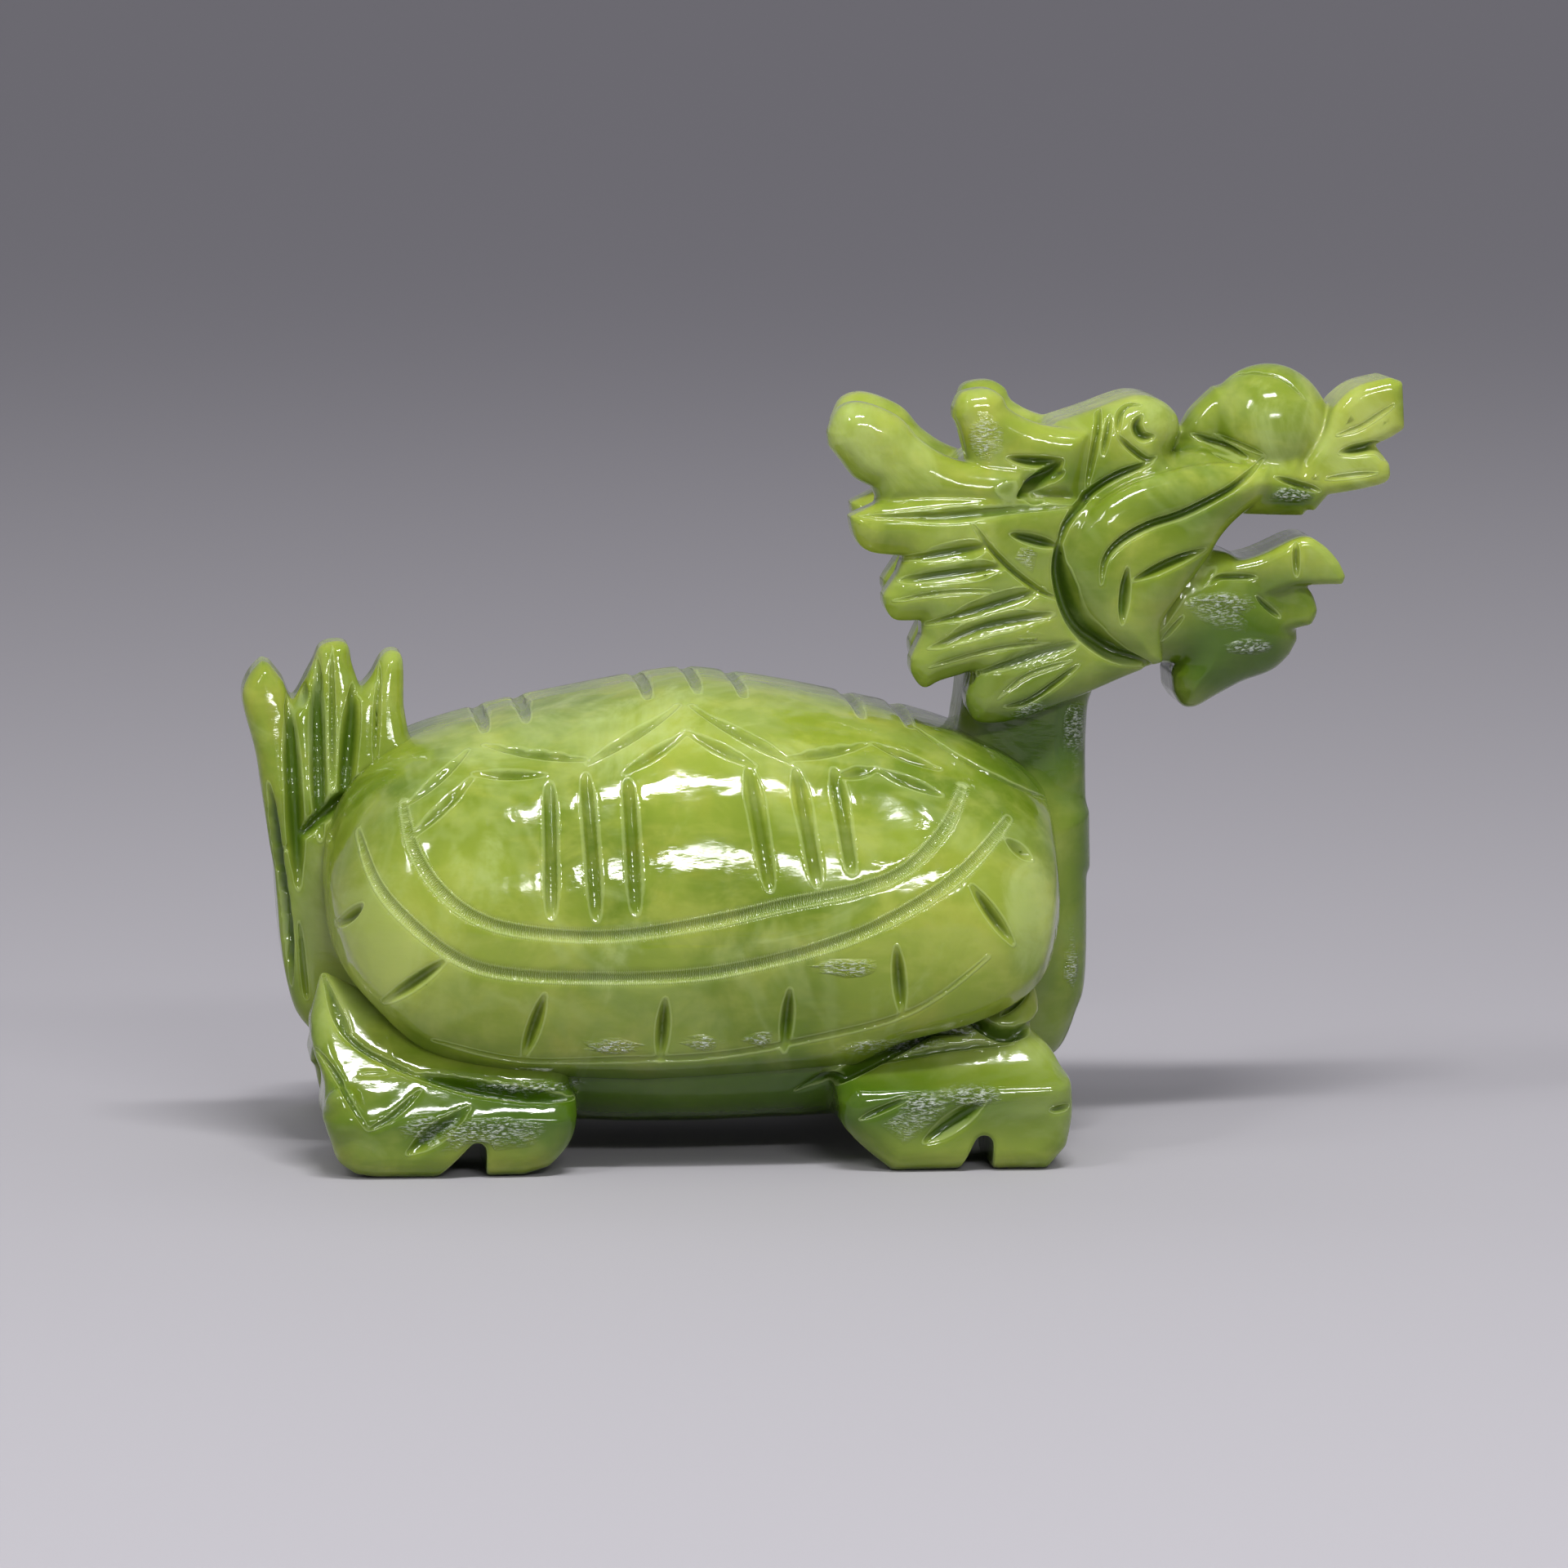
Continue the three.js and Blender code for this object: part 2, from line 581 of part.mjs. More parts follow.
// Notches across the ridge of the shell
function ridgeNotches() {
  return ridgeCuts.map((along) => {
    const x = along * square;
    const points = [-RIDGE_CUT_LENGTH / 2, 0, RIDGE_CUT_LENGTH / 2].map((y) => (
      new THREE.Vector3(x, y, domeTop(shell, x, y))
    ));
    return wheelCut(points, () => UP, RIDGE_CUT_WIDTH, RIDGE_CUT_DEPTH, 4);
  });
}

// The saw slots of all four feet. Each saw is longer than the foot is wide, so it cuts right through.
function toeSlotCutters() {
  const sawLength = FOOT_WIDTH * 1.5;
  return toeSlots.flatMap((along) => {
    const saw = new THREE.BoxGeometry(TOE_SLOT_WIDTH, sawLength, TOE_SLOT_HEIGHT * 2);
    saw.rotateY(THREE.MathUtils.degToRad(TOE_SLOT_LEAN));
    saw.translate(along * square, (FOOT_WIDTH - FEET_SPREAD) / 2, 0);
    return [saw, mirrored(saw)];
  });
}

function buildFigure() {
  const nose = new THREE.SphereGeometry(NOSE_BALL_DIAMETER / 2, ...NOSE_FACES);
  nose.translate(noseBall.along * square, 0, noseBall.up * square);
  const parts = slabParts();
  const blocks = [dome(belly, BELLY_FACES), nose, ...parts.flatMap(slabBlocks)].map(solidOf);
  const cutters = [
    ...shellCutters(),
    ...ridgeNotches(),
    ...parts.flatMap(slabCutters),
    ...toeSlotCutters(),
  ].map(solidOf);
  const block = blocks.reduce((whole, part) => whole.add(part), shellBlock());
  const carved = cutters.reduce((whole, cutter) => whole.subtract(cutter), block);
  const mesh = carved.getMesh();
  const geometry = new THREE.BufferGeometry();
  geometry.setAttribute('position', new THREE.BufferAttribute(mesh.vertProperties, 3));
  geometry.setIndex(new THREE.BufferAttribute(mesh.triVerts, 1));
  geometry.computeVertexNormals();
  return geometry;
}

const jade = new THREE.MeshStandardMaterial({ color: 0x7a9a2e, roughness: 0.12, metalness: 0 });
const figure = new THREE.Mesh(buildFigure(), jade);
figure.name = 'dragon_turtle';

const group = new THREE.Group();
group.add(figure);
export default group;
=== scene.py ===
# Dragon turtle figure, wheel-cut from one block of yellow-green stone and polished.
# Its shell, body and head are three blocks that overlap. A block is a grid of distances in
# millimetres: forms are joined in it, cuts are taken out of it, and its surface is then
# skinned as one closed mesh.

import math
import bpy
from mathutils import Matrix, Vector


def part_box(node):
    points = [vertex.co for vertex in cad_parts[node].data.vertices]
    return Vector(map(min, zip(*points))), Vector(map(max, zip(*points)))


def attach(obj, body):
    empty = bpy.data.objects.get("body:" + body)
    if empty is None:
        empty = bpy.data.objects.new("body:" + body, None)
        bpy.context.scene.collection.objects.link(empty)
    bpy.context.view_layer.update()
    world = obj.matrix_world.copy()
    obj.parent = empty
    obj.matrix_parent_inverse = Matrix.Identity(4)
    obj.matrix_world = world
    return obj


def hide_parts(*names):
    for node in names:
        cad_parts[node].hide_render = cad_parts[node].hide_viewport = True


bl_info = {
    "name": "Stone dragon turtle",
    "version": (1, 0, 0),
    "blender": (4, 5, 0),
    "location": "View3D > Sidebar > Stone carving",
    "description": "Carves a polished stone dragon turtle and sets a small studio around it",
    "category": "Add Mesh",
}

import bpy
import numpy as np
from bpy.props import FloatProperty, FloatVectorProperty, IntProperty, PointerProperty
from mathutils import Vector

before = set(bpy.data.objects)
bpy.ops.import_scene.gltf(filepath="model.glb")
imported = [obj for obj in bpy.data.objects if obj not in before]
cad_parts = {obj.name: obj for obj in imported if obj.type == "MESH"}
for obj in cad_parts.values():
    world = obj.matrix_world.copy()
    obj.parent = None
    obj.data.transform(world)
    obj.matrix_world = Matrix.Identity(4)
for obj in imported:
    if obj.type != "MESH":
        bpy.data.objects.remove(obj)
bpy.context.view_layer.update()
FIGURE = "dragon_turtle"
MM = 0.001

# How finely the stone is worked, in millimetres: the most that the grid holds, the gap between
# the points of a path, the room kept round a form, and how far above the surface a cut starts
FAR = 3.0
PATH_GAP = 0.12
MARGIN = 1.5
HEAD_HEADROOM = 2.5
WHEEL_START = 0.8
CURVE_PIECES = 6
PATH_EASING = 6
WHEEL_EASING = 30
BLUR = 0.12
BLUR_ROUNDS = 2

# Sizes of the figure in millimetres. The side view is drawn in squares of one millimetre,
# counted from the middle of the length and from the ground.
SHELL_WIDTH = 40
BELLY_WIDTH = 34
TAIL_WIDTH = 10.5
CHEST_WIDTH = 13
NECK_WIDTH = 11
FEET_SPREAD = 39
FOOT_WIDTH = 10.5
SKULL_WIDTH = 12.4
CHEEK_WIDTH = 17.6
JAW_WIDTH = 12
LIP_WIDTH = 8.4
CHIN_LEAF_WIDTH = 7.4
FLAME_WIDTH = 8
NOSE_BALL = (32.8, 0, 52)
NOSE_BALL_DIAMETER = 9.2
MANE_WIDTH = 18
MANE_PLATE = 5.2
HORN_WIDTH = 16.4
HORN_THICKNESS = 5
NOSE_RIDGE_WIDTH = 4.6
EAR_WIDTH = 14
EAR_THICKNESS = 4.4
FAR_HEAD_SETBACK = 1.3
TOE_SLOTS = ((-26.4, 2.6), (9.9, 1.2))
TOE_SLOT_WIDTH = 1.3
TOE_SLOT_HEIGHT = 2.6
KEEL_CHAMFER = 1.1
KEEL_SOFTNESS = 0.2
DOME_TAPER = 1.3
DOME_END = 10

# What the stone material reads. In millimetres: how deep a thin place is probed and how thin it
# is, how deep a cut starts to count, how far from a ring's path its marks reach, where they
# start to fade and over what, the gap between two marks, and the gap between specks
MASKS = ("thin", "shaded", "shadowed", "deep_tone_and_shade", "pale_tone_and_light", "cut", "lip_highlight", "unpolished",
         "ring_run", "ring")
THIN_PROBE = 3
THIN_DEPTH = 2.2
CUT_START = 0.1
RING_REACH = 0.8
RING_EDGE = (0.65, 0.2)
RING_TOOTH = 0.15
SPECK_SPACING = 11

# How deep down a cut has its full painted shade and how wide the painted highlight along its lips is, on
# the shell and elsewhere
SHELL_CUT_MARKS = (0.9, 1)
CUT_MARKS = (0.5, 0.5)

# How far out soft masses and missed patches reach, in shares of their radii, and how a patch fades
MASS_REACH = 1.5
PATCH_REACH = 1.2
PATCH_FADE = 0.5

# The stone round about: the gap of its grid and the room round the figure, how it is blurred,
# and, for crowded and for shadowed places, how far out they are probed, where the effect starts
# and over what it grows. Both give the painted shade.
AROUND_STEP = 1.0
AROUND_ROOM = 8
AROUND_BLUR = 0.25
CLOSE_ROUNDS = 10
ABOVE_ROUNDS = 8
CROWDED = (2.2, 0.2, 0.4)
SHADOWED_FROM_ABOVE = (2, 2, 11)

# The studio: the floor's reach and the point looked at in millimetres, and the tint of the sky
FLOOR_REACH = 8000
VIEW_MIDDLE = (-2.8, 0, 25.9)
SKY_TINT = (0.93, 0.92, 1.0, 1)

# Soft boxes: each one's turn round the figure and its rise in degrees, its distance, width and
# height in metres, its share of the power, and whether the polish mirrors it
SOFT_BOXES = {
    "top fill": (-6, 68, 0.55, 0.34, 0.2, 0.35, False),
    "left fill": (-62, 34, 0.6, 0.12, 0.3, 0.25, False),
    "back fill": (165, 50, 0.8, 0.5, 0.25, 0.35, False),
    "top strip": (9, 64, 0.55, 0.2, 0.045, 1.3, True),
    "front strip": (10, 26, 0.6, 0.2, 0.045, 0.65, True),
    "left window": (-48, 46, 0.6, 0.035, 0.12, 0.3, True),
}

# Where the three blocks of stone start and end along and up, and half the width of the head's
SHELL_START = (-40, 5)
SHELL_REACH = (20, 36)
BODY_REACH = (24.5, 45)
HEAD_START = (-2, 29.5)
HEAD_HALF_WIDTH = 10.5

SHELL = {
    "middle": -9.8, "waist": 17, "half_length": 27.8, "half_width": SHELL_WIDTH / 2,
    "rise": 17.4, "drop": 20, "plan": 8, "flank": 2.9, "ridge": 1.9, "slope": 0.35,
}
BELLY = {
    "middle": -10.5, "waist": 10.5, "half_length": 22, "half_width": BELLY_WIDTH / 2,
    "rise": 6, "drop": 8.6, "plan": 2.6, "flank": 3, "ridge": 2.6, "slope": 0.1,
}

# Side-view outlines. Each run of points is one smooth line, and runs meet at corners.
KEEL = [
    [(-37.7, 20), (-36.1, 15), (-33, 11.3), (-29.8, 8.7), (-24.6, 7), (-14.2, 6.5)],
    [(0.9, 7.4), (4.3, 9), (10.3, 10.7), (14.2, 12.9), (15.8, 15.6), (16.6, 19.5), (16.8, 23)],
    [(17.4, 36), (-38, 36)],
]
TAIL = [
    [(-41.1, 35.6), (-42.1, 34.4), (-42.5, 32.6), (-41.6, 29), (-41.1, 25.6), (-40.3, 20.5)],
    [(-40, 15.9), (-39.6, 12.9), (-38.9, 10.2), (-37.7, 8.6)],
    [(-34, 9), (-28, 14), (-27, 24), (-30.5, 30.2)],
    [(-30.8, 32.2), (-30.8, 35.5), (-31.5, 36.2), (-32.4, 35.8), (-33.1, 34.5)],
    [(-33.9, 33.4)],
    [(-34.5, 35.4), (-34.8, 36.7), (-35.9, 36.9), (-36.9, 36.5), (-37.4, 35.4), (-38.1, 34)],
    [(-38.9, 32.5)],
    [(-39.5, 34.1), (-40.5, 35.4)],
]
CHEST = [
    [(19.1, 24), (19.1, 12.7), (18.4, 9.4), (16.9, 6.4), (13.5, 5)],
    [(2, 6), (-2, 14), (0, 24)],
    [(6, 27), (14.5, 27.6)],
]
NECK = [
    [(19.2, 20), (19.1, 30), (19.8, 33.4), (22.6, 37)],
    [(20, 44), (11, 44), (10.4, 37)],
    [(10.1, 34), (9.8, 31.4), (9.2, 29.8), (6, 29)],
    [(0, 27), (4, 18)],
]
SKULL = [
    [(9, 49), (12, 51.2), (15.5, 51.8)],
    [(17, 52.8), (19.5, 53.6), (22.4, 54.6), (24.4, 54.3), (25.7, 53.2), (26, 51.8)],
    [(25.4, 50.4), (27.4, 50.6), (30.1, 50.2), (35, 50.6)],
    [(36.6, 47.2), (35.2, 45.6)],
    [(30.4, 45.7), (28.9, 44.4), (28.3, 43)],
    [(27, 38), (22, 35), (15, 34.6), (11, 37), (9.6, 43)],
]
NOSE_RIDGE = [
    [(24.6, 49.6), (26, 51), (27, 53.2), (28.8, 55)],
    [(34, 55), (37.4, 51)],
    [(36, 48), (26, 48)],
]
CHEEK = [
    [(16.7, 42.4), (17.4, 44.6), (19, 46.6), (20.9, 47.9), (23.4, 48.9), (28, 49.7), (32.4, 49.4)],
    [(33.2, 47.9)],
    [(31.8, 46.8), (30.2, 45.7), (28.9, 44.4), (28, 43)],
    [(25.5, 39.7), (24.3, 38.1), (24, 35.6)],
    [(23.3, 35.2), (21.1, 36), (19.3, 37.3), (18, 38.9), (17, 40.7)],
]
JAW = [
    [(22, 42.2), (28.3, 43.2), (30.7, 42.4)],
    [(33.8, 40.6), (34.7, 38), (34.9, 36.4)],
    [(34.3, 35.3), (33, 34.2), (30.7, 33.4), (28.6, 32.4), (27.2, 31.7), (26.2, 31.8), (25.5, 32.8)],
    [(25.4, 34.1), (25.7, 34.9)],
    [(21.1, 35.4)],
]
LOWER_LIP = [
    [(28.4, 42.2), (31.6, 42.7), (34.9, 44.1), (36.4, 43.6), (37.6, 42.4), (38.2, 41.2)],
    [(38, 40.6), (34.6, 40.5)],
    [(29, 38.6)],
]
CHIN_LEAF = [
    [(29, 41), (34.8, 40.7), (36.2, 38.9), (35.8, 37.6)],
    [(34, 37.2), (29, 36)],
]
FLAME = [
    [(33, 47), (35, 49.6), (36.5, 51.6), (37.3, 53.6), (39, 55.1), (41.4, 55.7)],
    [(42.3, 55.4), (42.5, 52)],
    [(41.6, 51.4), (40.4, 50.8)],
    [(41.4, 49.4), (41.3, 48.2), (39.4, 47.6), (36.9, 47.2)],
    [(35.9, 46)],
]
MANE = [
    [(19.5, 47.2), (8, 47.6), (3.4, 47.2)],
    [(1.3, 46.2), (1.7, 44.6), (2.8, 43.6), (5.2, 43.3)],
    [(4.7, 42)],
    [(3.7, 40.5), (3.8, 39.6), (4.6, 38.6), (6.5, 38.6)],
    [(6.5, 37.6)],
    [(5.7, 35.9), (5.8, 34.8), (6.7, 33.7), (8, 34.2), (10.2, 34.8)],
    [(9.7, 33.2), (9.9, 32.1), (10.8, 31.1), (13.8, 31.3), (18.3, 32.9), (21.6, 34.2), (24.4, 35.3)],
    [(24, 38), (21, 44)],
]
HORN = [
    [(-0.2, 52.2), (0.5, 53.8), (1.8, 54.4), (3.4, 54.1), (5.2, 53.2), (6.7, 51.6), (9.4, 50.1),
     (14, 49.4)],
    [(15, 46.2), (3.6, 46.6)],
    [(3, 48.2), (1.7, 48.9), (0.7, 50.2), (-0.1, 51.2)],
]
EAR = [
    [(9, 53.9), (9.6, 55), (11.4, 55.3), (12.6, 54.7), (13.2, 53.7), (15.5, 52.6), (19, 52.2)],
    [(18, 47), (10.4, 48.6)],
    [(9.8, 51), (9.4, 52.4), (9, 53.2)],
]
REAR_FOOT = [
    [(-37.1, 4.7), (-36.9, 3), (-36.3, 1.2), (-35, 0.2)],
    [(-33.6, 0), (-23, 0)],
    [(-21.2, 0.6), (-20, 1.9), (-19.3, 3.4), (-19.1, 5.6)],
    [(-20, 6.4), (-36.6, 6.4)],
]
REAR_LEG = [
    [(-38.1, 10.6), (-37.9, 8.8), (-37.2, 6.6), (-37.4, 4.2)],
    [(-21, 3.4), (-19.6, 6.4), (-20.6, 9)],
    [(-27, 10.4), (-33, 12), (-37.2, 14)],
]
FRONT_FOOT = [
    [(-0.5, 5.2), (-0.3, 3.6), (0.8, 2.2), (2.4, 0.8)],
    [(3.4, 0), (14.6, 0)],
    [(16, 1.6), (16.4, 3.9), (16.3, 6.4)],
    [(15.2, 7.2), (0.6, 6.4)],
]
FRONT_LEG = [
    [(-3.2, 9.6), (0.2, 4.6)],
    [(14.6, 3.4), (16, 5.6), (15.8, 7), (15.1, 8.4), (13.9, 9.4)],
    [(14.6, 10.8), (14.4, 12.4), (13.2, 15)],
    [(9.5, 13.4), (4, 11)],
]

# Cuts of the side view. A kind gives the width and depth of a cut, the radius of the wheel's
# edge, and how blunt the ends of the cut are.
CUT_KINDS = {
    "ring": (0.85, 0.32, 0.34, 10),
    "plate": (1.25, 0.55, 0.36, 6),
    "lens": (1.1, 0.5, 0.2, 2.2),
    "nick": (0.95, 0.85, 0.16, 2.2),
    "deep": (1.4, 1.3, 0.15, 2.6),
    "gully": (1.5, 1.6, 0.25, 3.5),
    "valley": (1.6, 0.6, 0.3, 3),
    "groove": (0.75, 0.8, 0.13, 4),
    "line": (0.55, 0.55, 0.11, 3),
    "crease": (0.4, 0.25, 0.1, 3),
    "flute": (1.5, 1.0, 0.3, 3),
    "wide": (1.6, 0.9, 0.25, 2.2),
    "notch": (1.4, 0.55, 0.4, 3),
}
SHELL_CUTS = {
    "ring": [
        [(-34.6, 24.4), (-33.4, 21), (-31, 18.3), (-28, 16), (-25, 14.9), (-19.4, 14.4),
         (-11.3, 14.5), (-4.5, 15.7), (0.7, 17.3), (5, 19.4), (8.6, 21.8), (12, 25)],
        [(-31.4, 26.6), (-30.8, 23.6), (-29.2, 21), (-26.6, 18.9), (-23, 17.8), (-17, 17.4),
         (-10, 18.3), (-4.5, 19.5), (0.7, 20.5), (4.3, 21.9), (7.2, 24.6), (8.8, 27.2)],
    ],
    "nick": [
        [(-36.2, 17.6), (-34.4, 19.4)], [(-33, 12.5), (-28.6, 15.8)], [(-23, 8.6), (-21.6, 13.2)],
        [(-13.3, 8.2), (-13, 12.8)], [(-4.4, 8.8), (-4.1, 13.4)], [(4, 11.4), (3.5, 16.4)],
        [(12, 16.4), (9, 20.6)],
    ],
    "lens": [
        [(13.6, 22.2), (11.8, 23.6)], [(-15.6, 28.6), (-10.8, 31.4)], [(-11.2, 31.4), (-6.3, 29)],
        [(-18.2, 29.2), (-11.4, 32.8)], [(-10.4, 32.8), (-3.6, 29.2)],
        [(-26.2, 28.4), (-21.2, 28.5)], [(-25.4, 30.2), (-18.4, 29.4)],
        [(-31, 24.2), (-26.4, 28.2)], [(-31, 26.4), (-26.6, 29.8)], [(-0.2, 28.2), (2.6, 28.6)],
        [(2.6, 28.6), (7.2, 26.8)], [(-3.6, 29.4), (2.2, 30.2)], [(2.6, 30.2), (7.2, 28.4)],
    ],
    "plate": [
        [(-21, 28), (-21.1, 18.8)], [(-18.4, 28.4), (-17.9, 18.6)], [(-15.4, 28.2), (-15.1, 19)],
        [(-6.7, 28.8), (-5.5, 20.6)], [(-3.3, 28.6), (-2.1, 20.8)], [(-0.5, 28.6), (0.4, 21.7)],
    ],
    "crease": [
        [(-29.4, 9.8), (-23.3, 8.3), (-16, 8.3), (-10, 8.5), (-4.5, 9.3), (2.7, 10.9), (6.4, 12.6),
         (10.2, 15.6)],
    ],
    "line": [[(6, 30.9), (9.4, 28.8), (13, 27), (15.6, 25.6)]],
}
TAIL_CUTS = {
    "flute": [
        [(-39.2, 33.2), (-38.6, 19)], [(-37.2, 36), (-37, 22.6)], [(-34.4, 34), (-35.4, 24.6)],
        [(-40.8, 27), (-39.2, 12)],
    ],
    "line": [[(-36, 36.6), (-36.1, 26)], [(-32.6, 35.4), (-33, 28)], [(-38.6, 17), (-38, 10)]],
    "deep": [[(-39.6, 22), (-36, 25.2), (-31, 29)]],
}
HEAD_CUTS = {
    "valley": [
        [(4, 46.3), (7.9, 46.3), (13.2, 46.8), (17, 46.8)], [(6, 43.2), (11.5, 44.1)],
        [(4.8, 41.6), (12.7, 42.6)], [(8, 38.7), (15.4, 40.8)],
        [(7.4, 36.7), (11, 38.2), (16.2, 39)], [(11.6, 35), (14.5, 35.9), (18, 36.8)],
    ],
    "line": [
        [(1.9, 46.3), (7.9, 46.3), (13.2, 46.8), (18.5, 46.8)], [(4.8, 43.1), (11.3, 44.1)],
        [(4.6, 41.6), (12.5, 42.5)], [(6.4, 38.3), (15.2, 40.8)],
        [(6.8, 36.6), (11, 38.2), (16, 39)], [(10, 34.6), (13.5, 35.7), (17.8, 36.7)],
        [(12.4, 32.3), (14.6, 32.8), (18.1, 35.3)],
        [(10.1, 45.7), (11.4, 43.9), (13.2, 42.1), (15.3, 40.6), (16.8, 40)],
        [(27.9, 42.8), (25.5, 39.7), (24.1, 37.4)], [(28, 40.8), (28.9, 41.4), (31.6, 41.2)],
        [(31.5, 39.9), (33.4, 38.2)], [(15.7, 48.4), (17, 49.3)],
        [(19.9, 54.8), (19.4, 51.5), (18.7, 47.9)], [(20.5, 53.3), (19.9, 50.3)],
        [(21, 51.9), (21.2, 53.4), (22, 54.1), (22.9, 54)],
        [(21, 51.8), (21.9, 50.9), (23.2, 50), (24, 50.2)], [(26.9, 51.6), (29, 50.9), (30.8, 50)],
        [(32.8, 48.6), (34.4, 48.1), (36.2, 47.5)], [(34.4, 43.8), (34.5, 41.2)],
    ],
    "crease": [
        [(4.2, 40.1), (8, 40.7), (11.5, 40.8)], [(6.8, 35.2), (12, 36.6), (16.8, 36.9)],
        [(12, 32.9), (14.2, 34.6), (17.6, 35.6)], [(24.4, 36.8), (26, 38.6)],
        [(28.6, 51.6), (32, 50.2)],
        [(28.9, 55.2), (30.2, 55.9), (31.8, 56.1), (33.6, 55.7), (35.2, 54.2)],
        [(37.4, 51.6), (39.2, 52.2), (41.6, 53.8)], [(36.6, 48.4), (40.4, 48.8)],
    ],
    "nick": [
        [(12.9, 44.9), (16.5, 43.9)], [(21.5, 42.4), (21.1, 38.2)],
        [(21.9, 41.4), (24.8, 42.6), (27.6, 43.5)], [(12.8, 50.3), (14.8, 50), (16.9, 50.1)],
        [(22.9, 53.3), (22.4, 52.6), (22.8, 51.7), (23.8, 51.7)], [(37.6, 50.3), (41, 50.9)],
    ],
    "gully": [[(16.5, 44.4), (16.6, 41.8), (17.6, 38.8), (19.2, 37), (21.2, 35.8), (23.6, 35)]],
    "groove": [
        [(16.4, 43.4), (17, 45.4), (18.4, 47.2), (20.8, 48.8), (23.8, 49.9)],
        [(19.5, 41.2), (19.8, 43), (21, 44.3), (23.1, 45.4), (25.8, 46.2), (28.8, 47.6),
         (30.3, 48.6), (32.1, 50)],
    ],
    "deep": [[(16.9, 50.1), (15.4, 48.8), (13.5, 47.4)]],
}
FOOT_CUTS = {
    "line": [
        [(-38, 9.2), (-35.9, 6.6), (-34.2, 3.6)], [(-34.2, 3.6), (-32.6, 4.5), (-30.3, 6.3)],
        [(-37.4, 14.4), (-35.2, 9.8)],
        [(-37.2, 14.2), (-36.3, 11.1), (-34.7, 9.2), (-31.4, 7.5), (-29.1, 6.6)],
        [(0.9, 3.9), (4.6, 5.5)], [(14.6, 4.4), (16.2, 4.6)],
        [(2.4, 7.6), (6, 8.3), (9.5, 8.7), (12.4, 8.8)], [(5, 9.4), (7.6, 9.6), (9.6, 9.4)],
        [(9.9, 11.6), (11.6, 13), (13, 14.6)], [(11.6, 10.6), (13.2, 11.8), (14.2, 13.2)],
    ],
    "wide": [[(-31.4, 1.9), (-27, 5.1)], [(5.5, 2.2), (9.9, 5.1)]],
    "crease": [[(-34.9, 7.4), (-32.6, 7.4)]],
    "deep": [
        [(-31, 7.3), (-25, 6.2), (-19, 5.5)], [(-3.3, 5.4), (2.6, 8.1), (8.5, 10.7)],
        [(8.6, 11.6), (10, 10.2), (11.9, 9.4), (14.4, 10)],
    ],
}
RIDGE_CUTS = (-25.2, -22.2, -13.4, -9.8, -6.5, 2.1, 5.6)
RIDGE_CUT_LENGTH = 17

# Patches that the polishing wheel missed: the middle of each on the side view, and its radii
ROUGH_PATCHES = [
    (11.3, 51.8, 1.1, 1.3), (28.7, 39.4, 2.3, 0.7), (31, 36.2, 1.5, 0.5), (-26, 3.5, 3.6, 0.8),
    (-30, 3.6, 0.9, 1), (5.4, 4.7, 1.4, 1.1), (9, 5.6, 1.6, 0.8), (14.6, 30.9, 1.4, 1.6),
    (18.2, 30.4, 0.9, 1.6), (0.2, 14.9, 1.3, 0.6), (17.8, 13, 0.5, 1.2), (-16.6, 9.3, 1.5, 0.5),
    (-10.2, 9.5, 0.8, 0.5), (-6, 9.8, 0.6, 0.6), (34.2, 47.3, 1.4, 0.5), (14.2, 43.6, 0.3, 0.3),
    (3.6, 8.9, 3.4, 0.6), (8.8, 9.7, 1, 0.5), (-22.5, 6.3, 3.4, 0.3), (14.4, 37.4, 0.4, 0.3),
]

# Deeper tone with painted shade, and paler tone with painted light: the middle of each mass on the side
# view, its radii and its share
DEEP_TONE_AND_SHADE_MASSES = [
    (30, 35.5, 6, 4.5, 1), (21, 22, 3.4, 15, 1), (33, 40, 4, 2, 0.8), (14, 33, 8, 5, 0.6),
    (-39.5, 18, 3, 12, 0.6), (28, 46.6, 8, 1.4, 0.4), (-10, 5, 30, 3.4, 1), (-30, 9, 9, 2, 0.4),
    (34, 47, 2.4, 1.1, 1), (16, 30, 6, 4, 1), (22, 38, 3, 3, 0.4), (-8, 10, 24, 4.5, 0.3),
    (15, 45, 3, 4, 0.4), (-36, 26, 6, 9, 0.35), (22, 22, 5, 15, 0.8), (18, 41.5, 3, 6, 0.45),
    (16.5, 48, 4, 2.4, 0.45), (11, 37, 7, 5, 0.3), (23, 39, 4, 4, 0.35),
]
# Pale masses: painted light on lit tops and faces, partly paler stone
PALE_TONE_AND_LIGHT_MASSES = [
    (-34, 16.5, 5, 6, 1.2), (-27, 24, 3, 3, 0.4), (4, 51, 6, 3, 0.7), (22, 53, 9, 2.6, 0.7),
    (39, 52, 4, 4, 1), (12, 20, 4, 4, 0.5), (-8, 31, 14, 2, 0.4), (12, 6, 7, 4, 0.4),
    (33, 52, 3.6, 3.6, 0.4),
]

# Small knobs beside the feet: the middle on the near side, and the radius
KNOBS = [((-35.5, -18.1, 4), 1.7), ((-35.9, -18, 5.3), 1.3)]

# How feet and legs narrow: along which axis, from where to where, and to what share
REAR_NARROWS = ("z", 4.2, 9, 0.8)
FRONT_NARROWS = ("z", 6, 10, 0.8)
LEG_NARROWS = ("z", 4.2, 14, 0.6)

